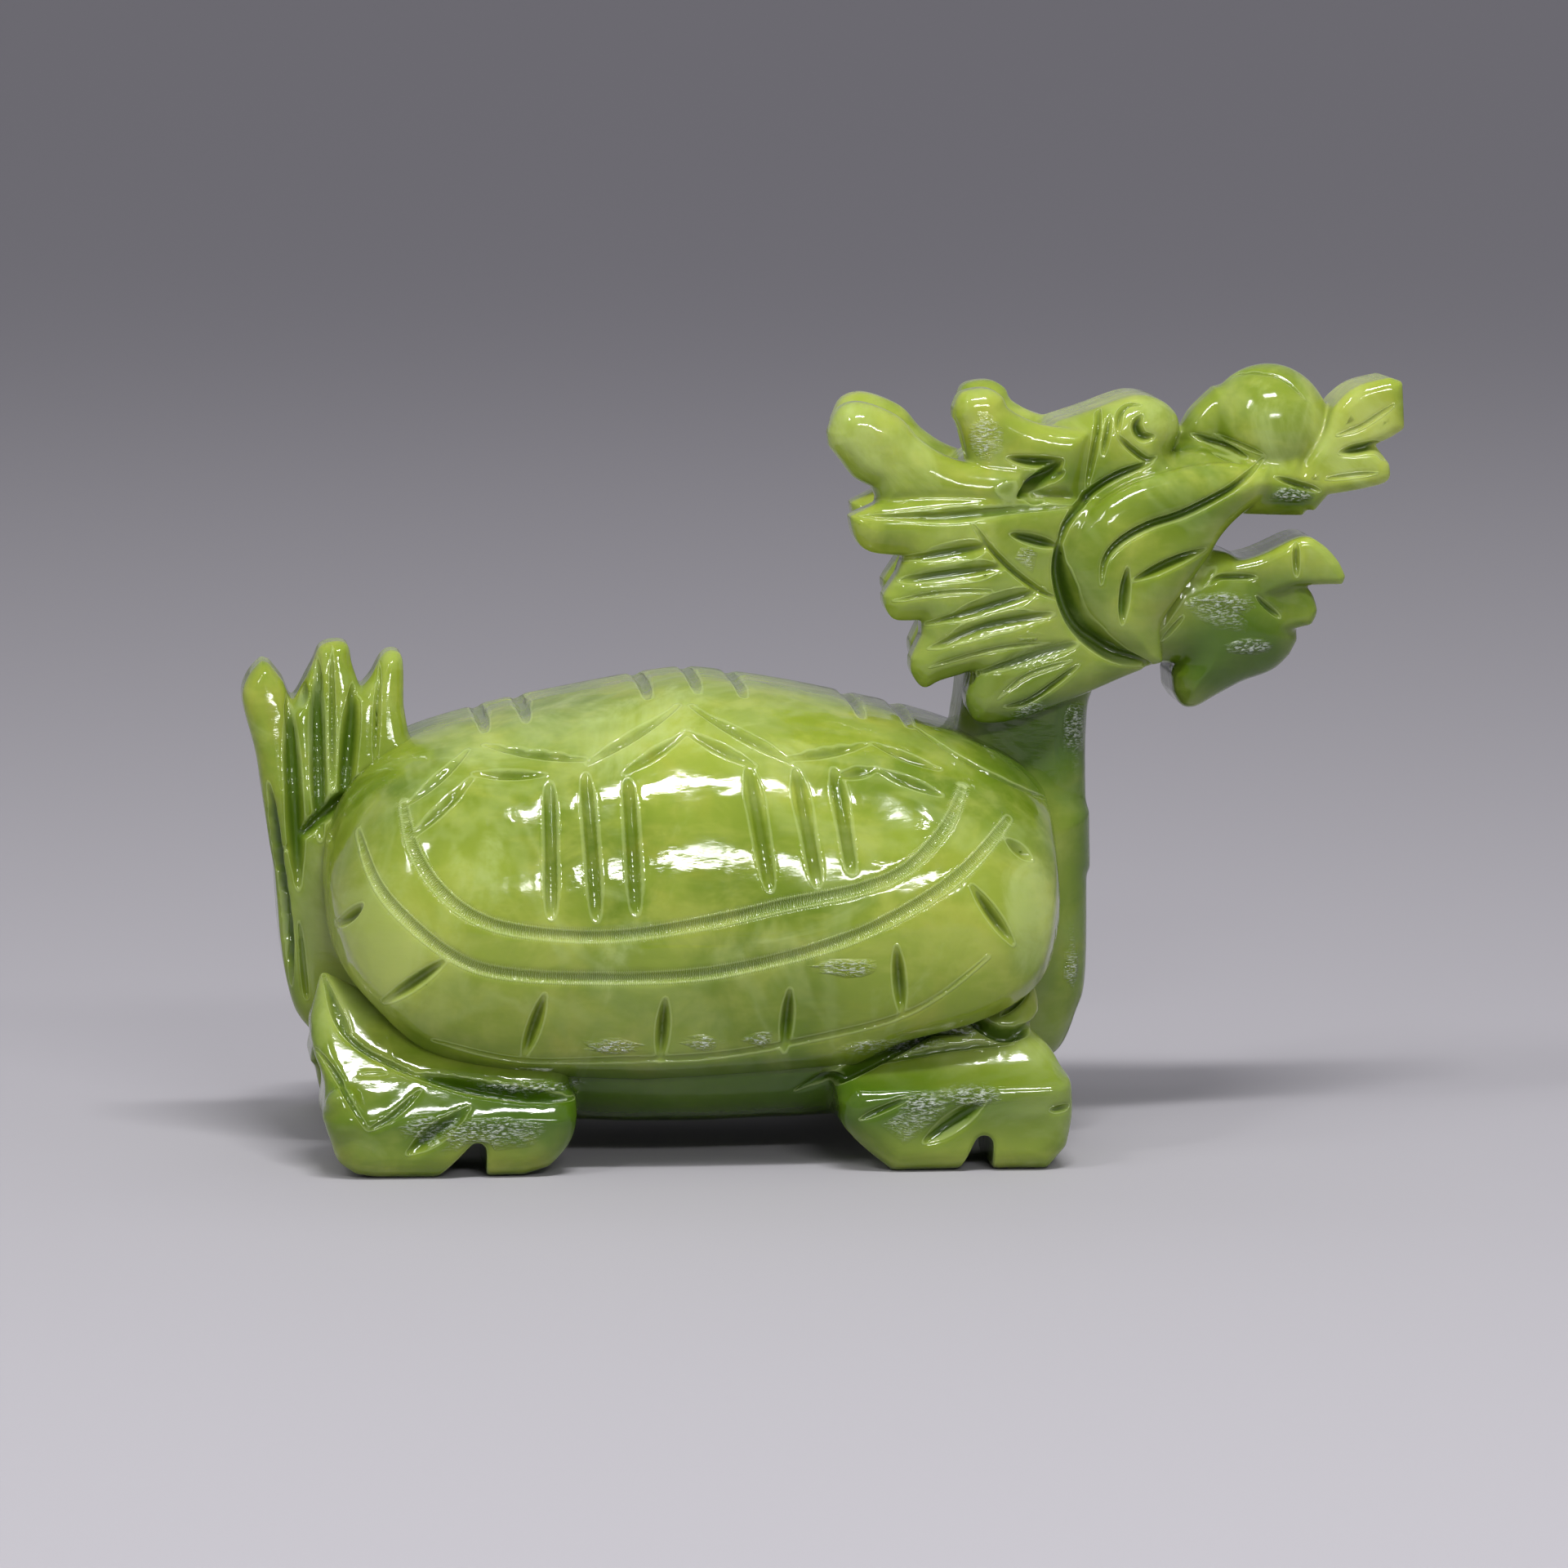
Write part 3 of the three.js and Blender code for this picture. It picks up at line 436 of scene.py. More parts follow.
# Sheets across the middle plane: outline, thickness, the rounding's reach into the face and
# across the thickness, how the sheet narrows, and how softly it joins the rest
BODY_SHEETS = [
    (TAIL, TAIL_WIDTH, (1.3, 1.5), ("z", 26, 36, 0.55), 0.5),
    (CHEST, CHEST_WIDTH, (3, 3), None, 0.6),
    (NECK, NECK_WIDTH, (2.5, 2.5), None, 1),
]
HEAD_SHEETS = [
    (SKULL, SKULL_WIDTH, (2.4, 2.6), ("x", 20, 34, 0.72), 0.3),
    (NOSE_RIDGE, NOSE_RIDGE_WIDTH, (1.6, 1.6), None, 1),
    (CHEEK, CHEEK_WIDTH, (2.6, 1.8), ("x", 20, 33, 0.6), 0.2),
    (JAW, JAW_WIDTH, (3.6, 2.6), ("x", 24, 34, 0.7), 0.3),
    (LOWER_LIP, LIP_WIDTH, (0.7, 0.8), None, 0.3),
    (CHIN_LEAF, CHIN_LEAF_WIDTH, (0.7, 0.8), None, 0.3),
    (FLAME, FLAME_WIDTH, (1, 1), None, 0.3),
]

# Sheets in pairs, one on each side: the thickness of one and the width over both come after
# the outline
FOOT_PAIRS = [
    (REAR_LEG, FOOT_WIDTH, FEET_SPREAD, (1.6, 1.6), LEG_NARROWS, 0.4),
    (FRONT_LEG, FOOT_WIDTH, FEET_SPREAD, (1.6, 1.6), LEG_NARROWS, 0.4),
    (REAR_FOOT, FOOT_WIDTH, FEET_SPREAD, (1.8, 1.8), REAR_NARROWS, 0.6),
    (FRONT_FOOT, FOOT_WIDTH, FEET_SPREAD, (1.8, 1.8), FRONT_NARROWS, 0.6),
]
HEAD_PAIRS = [
    (MANE, MANE_PLATE, MANE_WIDTH, (2.2, 1.5), ("x", 11, 19, 0.84), 0.2),
    (HORN, HORN_THICKNESS, HORN_WIDTH, (2, 2), None, 0.3),
    (EAR, EAR_THICKNESS, EAR_WIDTH, (1.5, 1.5), None, 0.3),
]


def smooth_run(points):
    """A smooth line through points of any dimension: a Catmull-Rom curve."""
    points = np.asarray(points, float)
    if len(points) < 3:
        return points
    before = np.vstack([points[:1], points[:-2]])
    start, end = points[:-1], points[1:]
    after = np.vstack([points[2:], points[-1:]])
    t = np.linspace(0, 1, CURVE_PIECES, endpoint=False)[None, :, None]
    p0, p1, p2, p3 = (side[:, None, :] for side in (before, start, end, after))
    line = 0.5 * (2 * p1 + (p2 - p0) * t + (2 * p0 - 5 * p1 + 4 * p2 - p3) * t**2
                  + (3 * p1 - p0 - 3 * p2 + p3) * t**3)
    return np.vstack([line.reshape(-1, points.shape[1]), points[-1:]])


def outline_of(runs, setback=0.0):
    """The corners of a closed side-view outline."""
    corners = np.vstack([smooth_run(run) for run in runs])
    return corners + np.array([setback, 0.0])


def outline_distance(corners, xs, zs):
    """Signed distance to a closed outline over a grid of the side view, negative inside."""
    gx, gz = np.meshgrid(xs, zs, indexing="ij")
    nearest = np.full(gx.shape, np.inf)
    inside = np.zeros(gx.shape, bool)
    for (ax, az), (bx, bz) in zip(corners, np.roll(corners, -1, axis=0)):
        ex, ez = bx - ax, bz - az
        length = ex * ex + ez * ez
        if length < 1e-12:
            continue
        t = np.clip(((gx - ax) * ex + (gz - az) * ez) / length, 0, 1)
        nearest = np.minimum(nearest, (gx - ax - ex * t) ** 2 + (gz - az - ez * t) ** 2)
        if az != bz:
            spans = (az <= gz) != (bz <= gz)
            inside ^= spans & (gx < ax + (gz - az) / (bz - az) * ex)
    return np.where(inside, -1, 1) * np.sqrt(nearest)


def soft_min(a, b, softness):
    """The smaller of two distances, rounded where they meet."""
    gap = np.maximum(softness - np.abs(a - b), 0)
    return np.minimum(a, b) - gap * gap / (4 * softness)


def soft_max(a, b, softness):
    """The larger of two distances, rounded where they meet."""
    return -soft_min(-a, -b, softness)


class Block:
    """A block of stone: distances to its surface on a grid, in millimetres, negative inside."""

    def __init__(self, low, high, step):
        self.low = np.array(low, float)
        self.step = step
        self.axes = [np.arange(a, b + step / 2, step, dtype=np.float32) for a, b in zip(low, high)]
        self.stone = np.full([len(axis) for axis in self.axes], FAR, np.float32)
        self.cuts = np.full_like(self.stone, FAR)

    def window(self, low, high):
        """The part of the grid between two corners: its slices and its axes."""
        slices = []
        for axis, a, b in zip(self.axes, low, high):
            first = max(int(np.searchsorted(axis, a)), 0)
            slices.append(slice(first, max(int(np.searchsorted(axis, b)), first + 2)))
        slices = tuple(slices)
        return slices, [axis[part] for axis, part in zip(self.axes, slices)]

    def join(self, slices, distance, softness):
        """Adds a form to the stone."""
        here = self.stone[slices]
        self.stone[slices] = soft_min(here, distance.astype(np.float32), softness)

    def sample(self, field, points):
        """Values of a field between the points of the grid."""
        place = (points - self.low) / self.step
        top = np.array(field.shape) - 2
        corner = np.clip(np.floor(place).astype(int), 0, top)
        share = np.clip(place - corner, 0, 1)
        total = np.zeros(len(points))
        for ahead in np.ndindex(2, 2, 2):
            weight = np.prod(np.where(ahead, share, 1 - share), axis=1)
            total += weight * field[tuple((corner + ahead).T)]
        return total

    def slope(self, field, points):
        """The gradient of a field at points."""
        sides = [self.sample(field, points + reach) - self.sample(field, points - reach)
                 for reach in np.eye(3) * self.step]
        return np.stack(sides, axis=1) / (2 * self.step)


def unit(vectors):
    """Vectors brought to a length of one."""
    return vectors / np.maximum(np.linalg.norm(vectors, axis=1, keepdims=True), 1e-6)


def eased(line, rounds):
    """A line whose rows are brought towards their neighbours a number of times."""
    for _ in range(rounds):
        line[1:-1] = (line[:-2] + 2 * line[1:-1] + line[2:]) / 4
    return line


def add_dome(block, form, softness, keel=None):
    """A long dome: flank, ridge and plan each have their own roundness. What lies below the
    keel line is cut away, and the edge that this leaves is chamfered."""
    half = np.array([form["half_length"], form["half_width"], max(form["rise"], form["drop"])])
    centre = np.array([form["middle"], 0, form["waist"]])
    slices, (xs, ys, zs) = block.window(centre - half - 2, centre + half + 2)
    share = np.abs((xs - form["middle"]) / form["half_length"])
    plan = 1 - share ** form["plan"]
    top = (1 - form["slope"] * share**DOME_TAPER) * np.sqrt(np.maximum(1 - share**DOME_END, 1e-4))
    up = zs - form["waist"]
    height = np.where(up > 0, form["rise"], form["drop"])[None, :] * top[:, None]
    room = 1 - (np.abs(up)[None, :] / height) ** form["ridge"]
    table = np.where((room > 0) & (plan[:, None] > 0), room * plan[:, None],
                     np.minimum(room, plan[:, None]))
    table = np.maximum(table, -3)
    along_x, along_z = np.gradient(table, block.step)
    side = np.abs(ys) / form["half_width"]
    reach = side ** form["flank"]
    lean = form["flank"] * side ** (form["flank"] - 1) / form["half_width"]
    value = reach[None, :, None] - table[:, None, :]
    steep = np.sqrt(lean[None, :, None] ** 2 + (along_x**2 + along_z**2)[:, None, :])
    distance = np.clip(value / np.maximum(steep, 0.01), -8, FAR)
    if keel is not None:
        below = outline_distance(keel, xs, zs)[:, None, :]
        corner = (distance + below + KEEL_CHAMFER) * math.sqrt(0.5)
        distance = soft_max(np.maximum(distance, below), corner, KEEL_SOFTNESS)
    block.join(slices, distance, softness)


def add_slab(block, runs, inner, outer, edge, side, setback, narrows, softness):
    """A slab cut to a side-view outline, with rounded edges. Edge gives the rounding's reach
    into the face and across the thickness. Side is 0 for a slab across the middle plane, or
    -1 and 1 for one on the near and the far side. The far one is set back."""
    corners = outline_of(runs, setback if side > 0 else 0.0)
    low, high = corners.min(0) - MARGIN, corners.max(0) + MARGIN
    reach = (-outer - MARGIN, outer + MARGIN)
    if side:
        reach = sorted((side * (inner - MARGIN), side * (outer + MARGIN)))
    slices, (xs, ys, zs) = block.window((low[0], reach[0], low[1]), (high[0], reach[1], high[1]))
    flat = outline_distance(corners, xs, zs)
    share = np.ones_like(flat)
    if narrows:
        axis, start, end, least = narrows
        place = (xs[:, None] if axis == "x" else zs[None, :]) + np.zeros_like(flat)
        share = 1 - np.clip((place - start) / (end - start), 0, 1) * (1 - least)
    share = share[:, None, :]
    if side == 0:
        face = np.abs(ys)[None, :, None] - outer * share
    else:
        away = side * ys[None, :, None]
        face = np.maximum(away - outer * share, inner - away)
    round_in, round_across = edge
    a = ((flat + round_in) / round_in)[:, None, :]
    b = (face + round_across) / round_across
    distance = (np.minimum(np.maximum(a, b), 0)
                + np.hypot(np.maximum(a, 0), np.maximum(b, 0)) - 1) * min(edge)
    block.join(slices, distance, softness)


def add_ball(block, centre, radius, softness):
    """A ball about a centre."""
    centre = np.array(centre, float)
    slices, (xs, ys, zs) = block.window(centre - radius - 2, centre + radius + 2)
    distance = np.sqrt((xs[:, None, None] - centre[0]) ** 2 + (ys[None, :, None] - centre[1]) ** 2
                       + (zs[None, None, :] - centre[2]) ** 2) - radius
    block.join(slices, distance, softness)


def first_surface(block, axis, sign):
    """Where the stone's surface is first met, looking along an axis from one side of the block."""
    field = np.moveaxis(block.stone, axis, -1)
    steps = block.axes[axis]
    if sign > 0:
        field, steps = field[..., ::-1], steps[::-1]
    inside = field < 0
    hit = inside.any(-1)
    first = np.maximum(inside.argmax(-1), 1)
    here, before = (np.take_along_axis(field, first[..., None] - back, -1)[..., 0] for back in (0, 1))
    share = before / np.where(hit, before - here, 1)
    place = steps[first - 1] + share * (steps[first] - steps[first - 1])
    return np.where(hit, place, np.nan)


def laid_on(block, points, axis, heights):
    """Points of a view, given their place on the surface that the view first meets."""
    flat_axes = [k for k in range(3) if k != axis]
    cell = [np.clip(np.round((points[:, i] - block.low[k]) / block.step).astype(int), 0,
                    len(block.axes[k]) - 1) for i, k in enumerate(flat_axes)]
    found = heights[cell[0], cell[1]].astype(float)
    known = np.flatnonzero(~np.isnan(found))
    if len(known) == 0:
        raise ValueError("a cut misses the stone")
    found = np.interp(np.arange(len(found)), known, found[known])
    laid = np.zeros((len(points), 3))
    laid[:, flat_axes[0]], laid[:, flat_axes[1]], laid[:, axis] = points[:, 0], points[:, 1], found
    return eased(laid, PATH_EASING)


def evenly(points, gap):
    """A line's points, as far apart as the gap along it."""
    spans = np.linalg.norm(np.diff(points, axis=0), axis=1)
    run = np.concatenate([[0], np.cumsum(spans)])
    count = max(int(math.ceil(run[-1] / gap)), 4)
    marks = np.linspace(0, run[-1], count + 1)
    return np.stack([np.interp(marks, run, points[:, k]) for k in range(points.shape[1])], axis=1)


def wheel_cut(block, path, kind):
    """Takes a cut along a path on the surface: a tapering tool is sunk at each of its points."""
    width, depth, tip, blunt = kind
    outward = unit(eased(block.slope(block.stone, path), WHEEL_EASING))
    sunk = 1 - np.abs(np.linspace(-1, 1, len(path))) ** blunt
    spread = (width / 2 - tip) / max(depth - tip, 0.05)
    for centre, normal, share in zip(path, outward, sunk):
        floor = depth * share - tip
        length = WHEEL_START + floor
        top = centre + normal * WHEEL_START
        bottom = centre - normal * floor
        top_radius = tip + spread * length
        reach = max(top_radius, tip) + 0.5
        slices, (xs, ys, zs) = block.window(np.minimum(top, bottom) - reach,
                                            np.maximum(top, bottom) + reach)
        dx = xs[:, None, None] - top[0]
        dy = ys[None, :, None] - top[1]
        dz = zs[None, None, :] - top[2]
        down = np.clip(-(dx * normal[0] + dy * normal[1] + dz * normal[2]) / length, 0, 1)
        fall = down * length
        away = np.sqrt((dx + normal[0] * fall) ** 2 + (dy + normal[1] * fall) ** 2
                       + (dz + normal[2] * fall) ** 2)
        distance = away - (top_radius + (tip - top_radius) * down)
        block.cuts[slices] = np.minimum(block.cuts[slices], distance)


def cut_toe_slots(block):
    """The slots that split the feet into toes: upright on one side and flared on the other."""
    for along, flare in TOE_SLOTS:
        top = np.array([along, TOE_SLOT_HEIGHT - TOE_SLOT_WIDTH / 2])
        for side in (-1, 1):
            reach = sorted((side * (FEET_SPREAD / 2 - FOOT_WIDTH - 1), side * (FEET_SPREAD / 2 + 1)))
            slices, (xs, _, zs) = block.window((along - 4, reach[0], -1), (along + 3, reach[1], 4))
            gx, gz = np.meshgrid(xs, zs, indexing="ij")
            for lean in (0.0, 0.5 * flare, flare):
                line = np.array([-lean, -TOE_SLOT_HEIGHT])
                t = np.clip(((gx - top[0]) * line[0] + (gz - top[1]) * line[1]) / (line @ line), 0, 1)
                away = np.hypot(gx - top[0] - line[0] * t, gz - top[1] - line[1] * t)
                distance = (away - TOE_SLOT_WIDTH / 2)[:, None, :]
                block.cuts[slices] = np.minimum(block.cuts[slices], distance)


def add_sheets(block, sheets):
    """Joins sheets that lie across the middle plane."""
    for runs, width, edge, narrows, softness in sheets:
        add_slab(block, runs, 0, width / 2, edge, 0, 0.0, narrows, softness)


def add_pairs(block, pairs, side, setback):
    """Joins one side's sheets of pairs."""
    for runs, thickness, width, edge, narrows, softness in pairs:
        inner, outer = width / 2 - thickness, width / 2
        add_slab(block, runs, inner, outer, edge, side, setback, narrows, softness)


def add_body(block, softness):
    """Joins the belly, the tail, the chest, the neck, the legs and the feet."""
    add_dome(block, BELLY, softness)
    add_sheets(block, BODY_SHEETS)
    for side in (-1, 1):
        add_pairs(block, FOOT_PAIRS, side, 0.0)
        for (x, y, z), radius in KNOBS:
            add_ball(block, (x, -side * y, z), radius, 0.3)


def add_head(block, softness):
    """Joins the sheets of the head and the ball on its nose."""
    add_sheets(block, HEAD_SHEETS)
    add_ball(block, NOSE_BALL, NOSE_BALL_DIAMETER / 2, softness)
    for side in (-1, 1):
        add_pairs(block, HEAD_PAIRS, side, FAR_HEAD_SETBACK)


def side_paths(block, cuts, setback=0.0):
    """Cuts of the side view as paths on both sides of the stone, each with its kind."""
    made = []
    for side in (-1, 1):
        heights = first_surface(block, 1, side)
        for kind, lines in cuts.items():
            for points in lines:
                line = evenly(smooth_run(points), PATH_GAP)
                line[:, 0] += setback if side > 0 else 0.0
                made.append((kind, laid_on(block, line, 1, heights)))
    return made


def ridge_paths(block):
    """The notches across the ridge of the shell as paths on it."""
    heights = first_surface(block, 2, 1)
    made = []
    for along in RIDGE_CUTS:
        ends = np.array([(along, -RIDGE_CUT_LENGTH / 2), (along, RIDGE_CUT_LENGTH / 2)])
        made.append(("notch", laid_on(block, evenly(ends, PATH_GAP), 2, heights)))
    return made


def blurred(field, weight, rounds):
    """A field smoothed along all three axes, a number of times."""
    for _ in range(rounds):
        for axis in range(3):
            ahead = np.roll(field, -1, axis)
            behind = np.roll(field, 1, axis)
            field = field * (1 - 2 * weight) + (ahead + behind) * weight
    return field


def skin(block, field):
    """The surface of a field as points and quads, with a point in each cell that it crosses."""
    inside = field < 0
    ways = np.eye(3, dtype=int)
    shape = np.array(field.shape) - 1
    count = np.zeros(shape, np.uint8)
    for x, y, z in np.ndindex(2, 2, 2):
        count += inside[x:x + shape[0], y:y + shape[1], z:z + shape[2]]
    active = (count > 0) & (count < 8)
    number = np.full(shape, -1, np.int64)
    cells = np.argwhere(active)
    number[active] = np.arange(len(cells))
    total = np.zeros((len(cells), 3))
    crossings = np.zeros(len(cells))
    for corner in np.ndindex(2, 2, 2):
        for way in ways[np.array(corner) == 0]:
            start = field[tuple((cells + corner).T)]
            end = field[tuple((cells + corner + way).T)]
            crosses = (start < 0) != (end < 0)
            share = np.where(crosses, start / np.where(crosses, start - end, 1), 0)
            total += (corner + share[:, None] * way) * crosses[:, None]
            crossings += crosses
    points = block.low + (cells + total / crossings[:, None]) * block.step
    quads = []
    for axis in range(3):
        change = inside != np.roll(inside, -1, axis)
        for k in range(3):
            layers = np.moveaxis(change, k, 0)
            layers[-1] = False
            if k != axis:
                layers[0] = False
        places = np.argwhere(change)
        second, third = ways[axis - 2], ways[axis - 1]
        ring = np.stack([number[tuple((places - back).T)]
                         for back in (second + third, third, 0, second)], axis=1)
        out = inside[tuple(places.T)]
        quads.append(np.where(out[:, None], ring, ring[:, ::-1]))
    return points, np.vstack(quads)


def largest_piece(points, quads):
    """Drops chips that came loose from the block."""
    label = np.arange(len(points))
    for _ in range(200):
        least = label[quads].min(1)
        new = label.copy()
        for k in range(4):
            np.minimum.at(new, quads[:, k], least)
        new = new[new]
        if np.array_equal(new, label):
            break
        label = new
    names, counts = np.unique(label, return_counts=True)
    keep = label == names[counts.argmax()]
    number = np.cumsum(keep) - 1
    return points[keep], number[quads[keep[quads[:, 0]]]]


def mesh_from(name, points, faces):
    """A Blender mesh from points in millimetres and faces of one size."""
    mesh = bpy.data.meshes.new(name)
    mesh.vertices.add(len(points))
    mesh.vertices.foreach_set("co", (points * MM).astype(np.float32).ravel())
    corner_count = faces.shape[1]
    mesh.loops.add(faces.size)
    mesh.loops.foreach_set("vertex_index", faces.astype(np.int32).ravel())
    mesh.polygons.add(len(faces))
    mesh.polygons.foreach_set("loop_start", np.arange(0, faces.size, corner_count, dtype=np.int32))
    mesh.update(calc_edges=True)
    mesh.validate()
    return mesh


def points_of(mesh):
    """A mesh's points in millimetres."""
    flat = np.zeros(len(mesh.vertices) * 3, np.float32)
    mesh.vertices.foreach_get("co", flat)
    return flat.reshape(-1, 3).astype(float) / MM


def applied(obj, name):
    """The object's modified mesh as a plain mesh, with the modifiers removed."""
    graph = bpy.context.evaluated_depsgraph_get()
    mesh = bpy.data.meshes.new_from_object(obj.evaluated_get(graph))
    mesh.name = name
    obj.modifiers.clear()
    old = obj.data
    obj.data = mesh
    bpy.data.meshes.remove(old)
    return mesh


def socket_of(tree, name):
    """The identifier of a tree's input."""
    for item in tree.interface.items_tree:
        if item.item_type == "SOCKET" and item.in_out == "INPUT" and item.name == name:
            return item.identifier
    raise KeyError(name)


def linear(colour):
    """A colour given as it looks on screen, in the values that shaders take."""
    return [c / 12.92 if c <= 0.04045 else ((c + 0.055) / 1.055) ** 2.4 for c in colour[:3]] + [1.0]


class Wiring:
    """Adds nodes to a tree and links them."""

    def __init__(self, tree):
        self.tree = tree

    def node(self, kind, values=None, **settings):
        """A node, with its settings and with values or links for its inputs."""
        made = self.tree.nodes.new(kind)
        for name, value in settings.items():
            setattr(made, name, value)
        for key, value in (values or {}).items():
            socket = made.inputs[key]
            if isinstance(value, bpy.types.NodeSocket):
                self.tree.links.new(value, socket)
            else:
                socket.default_value = value
        return made

    def math(self, operation, a, b=0.0, clamp=False):
        """A sum, product or other function of numbers."""
        return self.node("ShaderNodeMath", {0: a, 1: b}, operation=operation, use_clamp=clamp).outputs[0]

    def times(self, a, b, clamp=False):
        """A product of two numbers."""
        return self.math("MULTIPLY", a, b, clamp)

    def band(self, value, low, high, to_low=0.0, to_high=1.0):
        """A value spread smoothly from one range to another."""
        ends = {"From Min": low, "From Max": high, "To Min": to_low, "To Max": to_high}
        return self.node("ShaderNodeMapRange", {"Value": value, **ends},
                         interpolation_type="SMOOTHSTEP").outputs[0]

    def noise(self, place, size, detail, roughness, distortion=0.0, squash=None, turn=None):
        """Clouds of about a size in metres, drawn out by a squash and turned."""
        if squash:
            drawn_out = {"Vector": place, "Rotation": turn, "Scale": squash}
            place = self.node("ShaderNodeMapping", drawn_out).outputs[0]
        clouds = {"Vector": place, "Scale": 1 / size, "Detail": detail, "Roughness": roughness}
        return self.node("ShaderNodeTexNoise", {**clouds, "Distortion": distortion}).outputs["Fac"]

    def blend(self, share, a, b):
        """Two colours mixed by a share."""
        return self.node("ShaderNodeMix", {0: share, 6: a, 7: b}, data_type="RGBA").outputs[2]


def ripple_tree(material):
    """Geometry nodes that lift and sink a surface in soft waves, as hand polishing leaves it."""
    tree = bpy.data.node_groups.new("Polishing ripple", "GeometryNodeTree")
    for name, way, kind in (
        ("Geometry", "INPUT", "Geometry"), ("Depth", "INPUT", "Float"), ("Size", "INPUT", "Float"),
        ("Seed", "INPUT", "Int"), ("Geometry", "OUTPUT", "Geometry"),
    ):
        tree.interface.new_socket(name, in_out=way, socket_type="NodeSocket" + kind)
    w = Wiring(tree)
    start = w.node("NodeGroupInput").outputs
    place = w.node("GeometryNodeInputPosition").outputs[0]
    scaled = w.node("ShaderNodeVectorMath", {0: place, 1: start["Size"]}, operation="DIVIDE").outputs[0]
    waves = w.node("ShaderNodeTexNoise", {"Vector": scaled, "W": start["Seed"], "Scale": 1, "Detail": 1},
                   noise_dimensions="4D").outputs[0]
    height = w.times(w.math("SUBTRACT", waves, 0.5), start["Depth"])
    normal = w.node("GeometryNodeInputNormal").outputs[0]
    offset = w.node("ShaderNodeVectorMath", {0: normal, "Scale": height}, operation="SCALE").outputs[0]
    move = w.node("GeometryNodeSetPosition", {"Geometry": start["Geometry"], "Offset": offset}).outputs[0]
    real = w.node("GeometryNodeRealizeInstances", {0: move}).outputs[0]
    paint = w.node("GeometryNodeSetMaterial", {0: real, "Material": material}).outputs[0]
    w.node("NodeGroupOutput", {0: paint})
    return tree


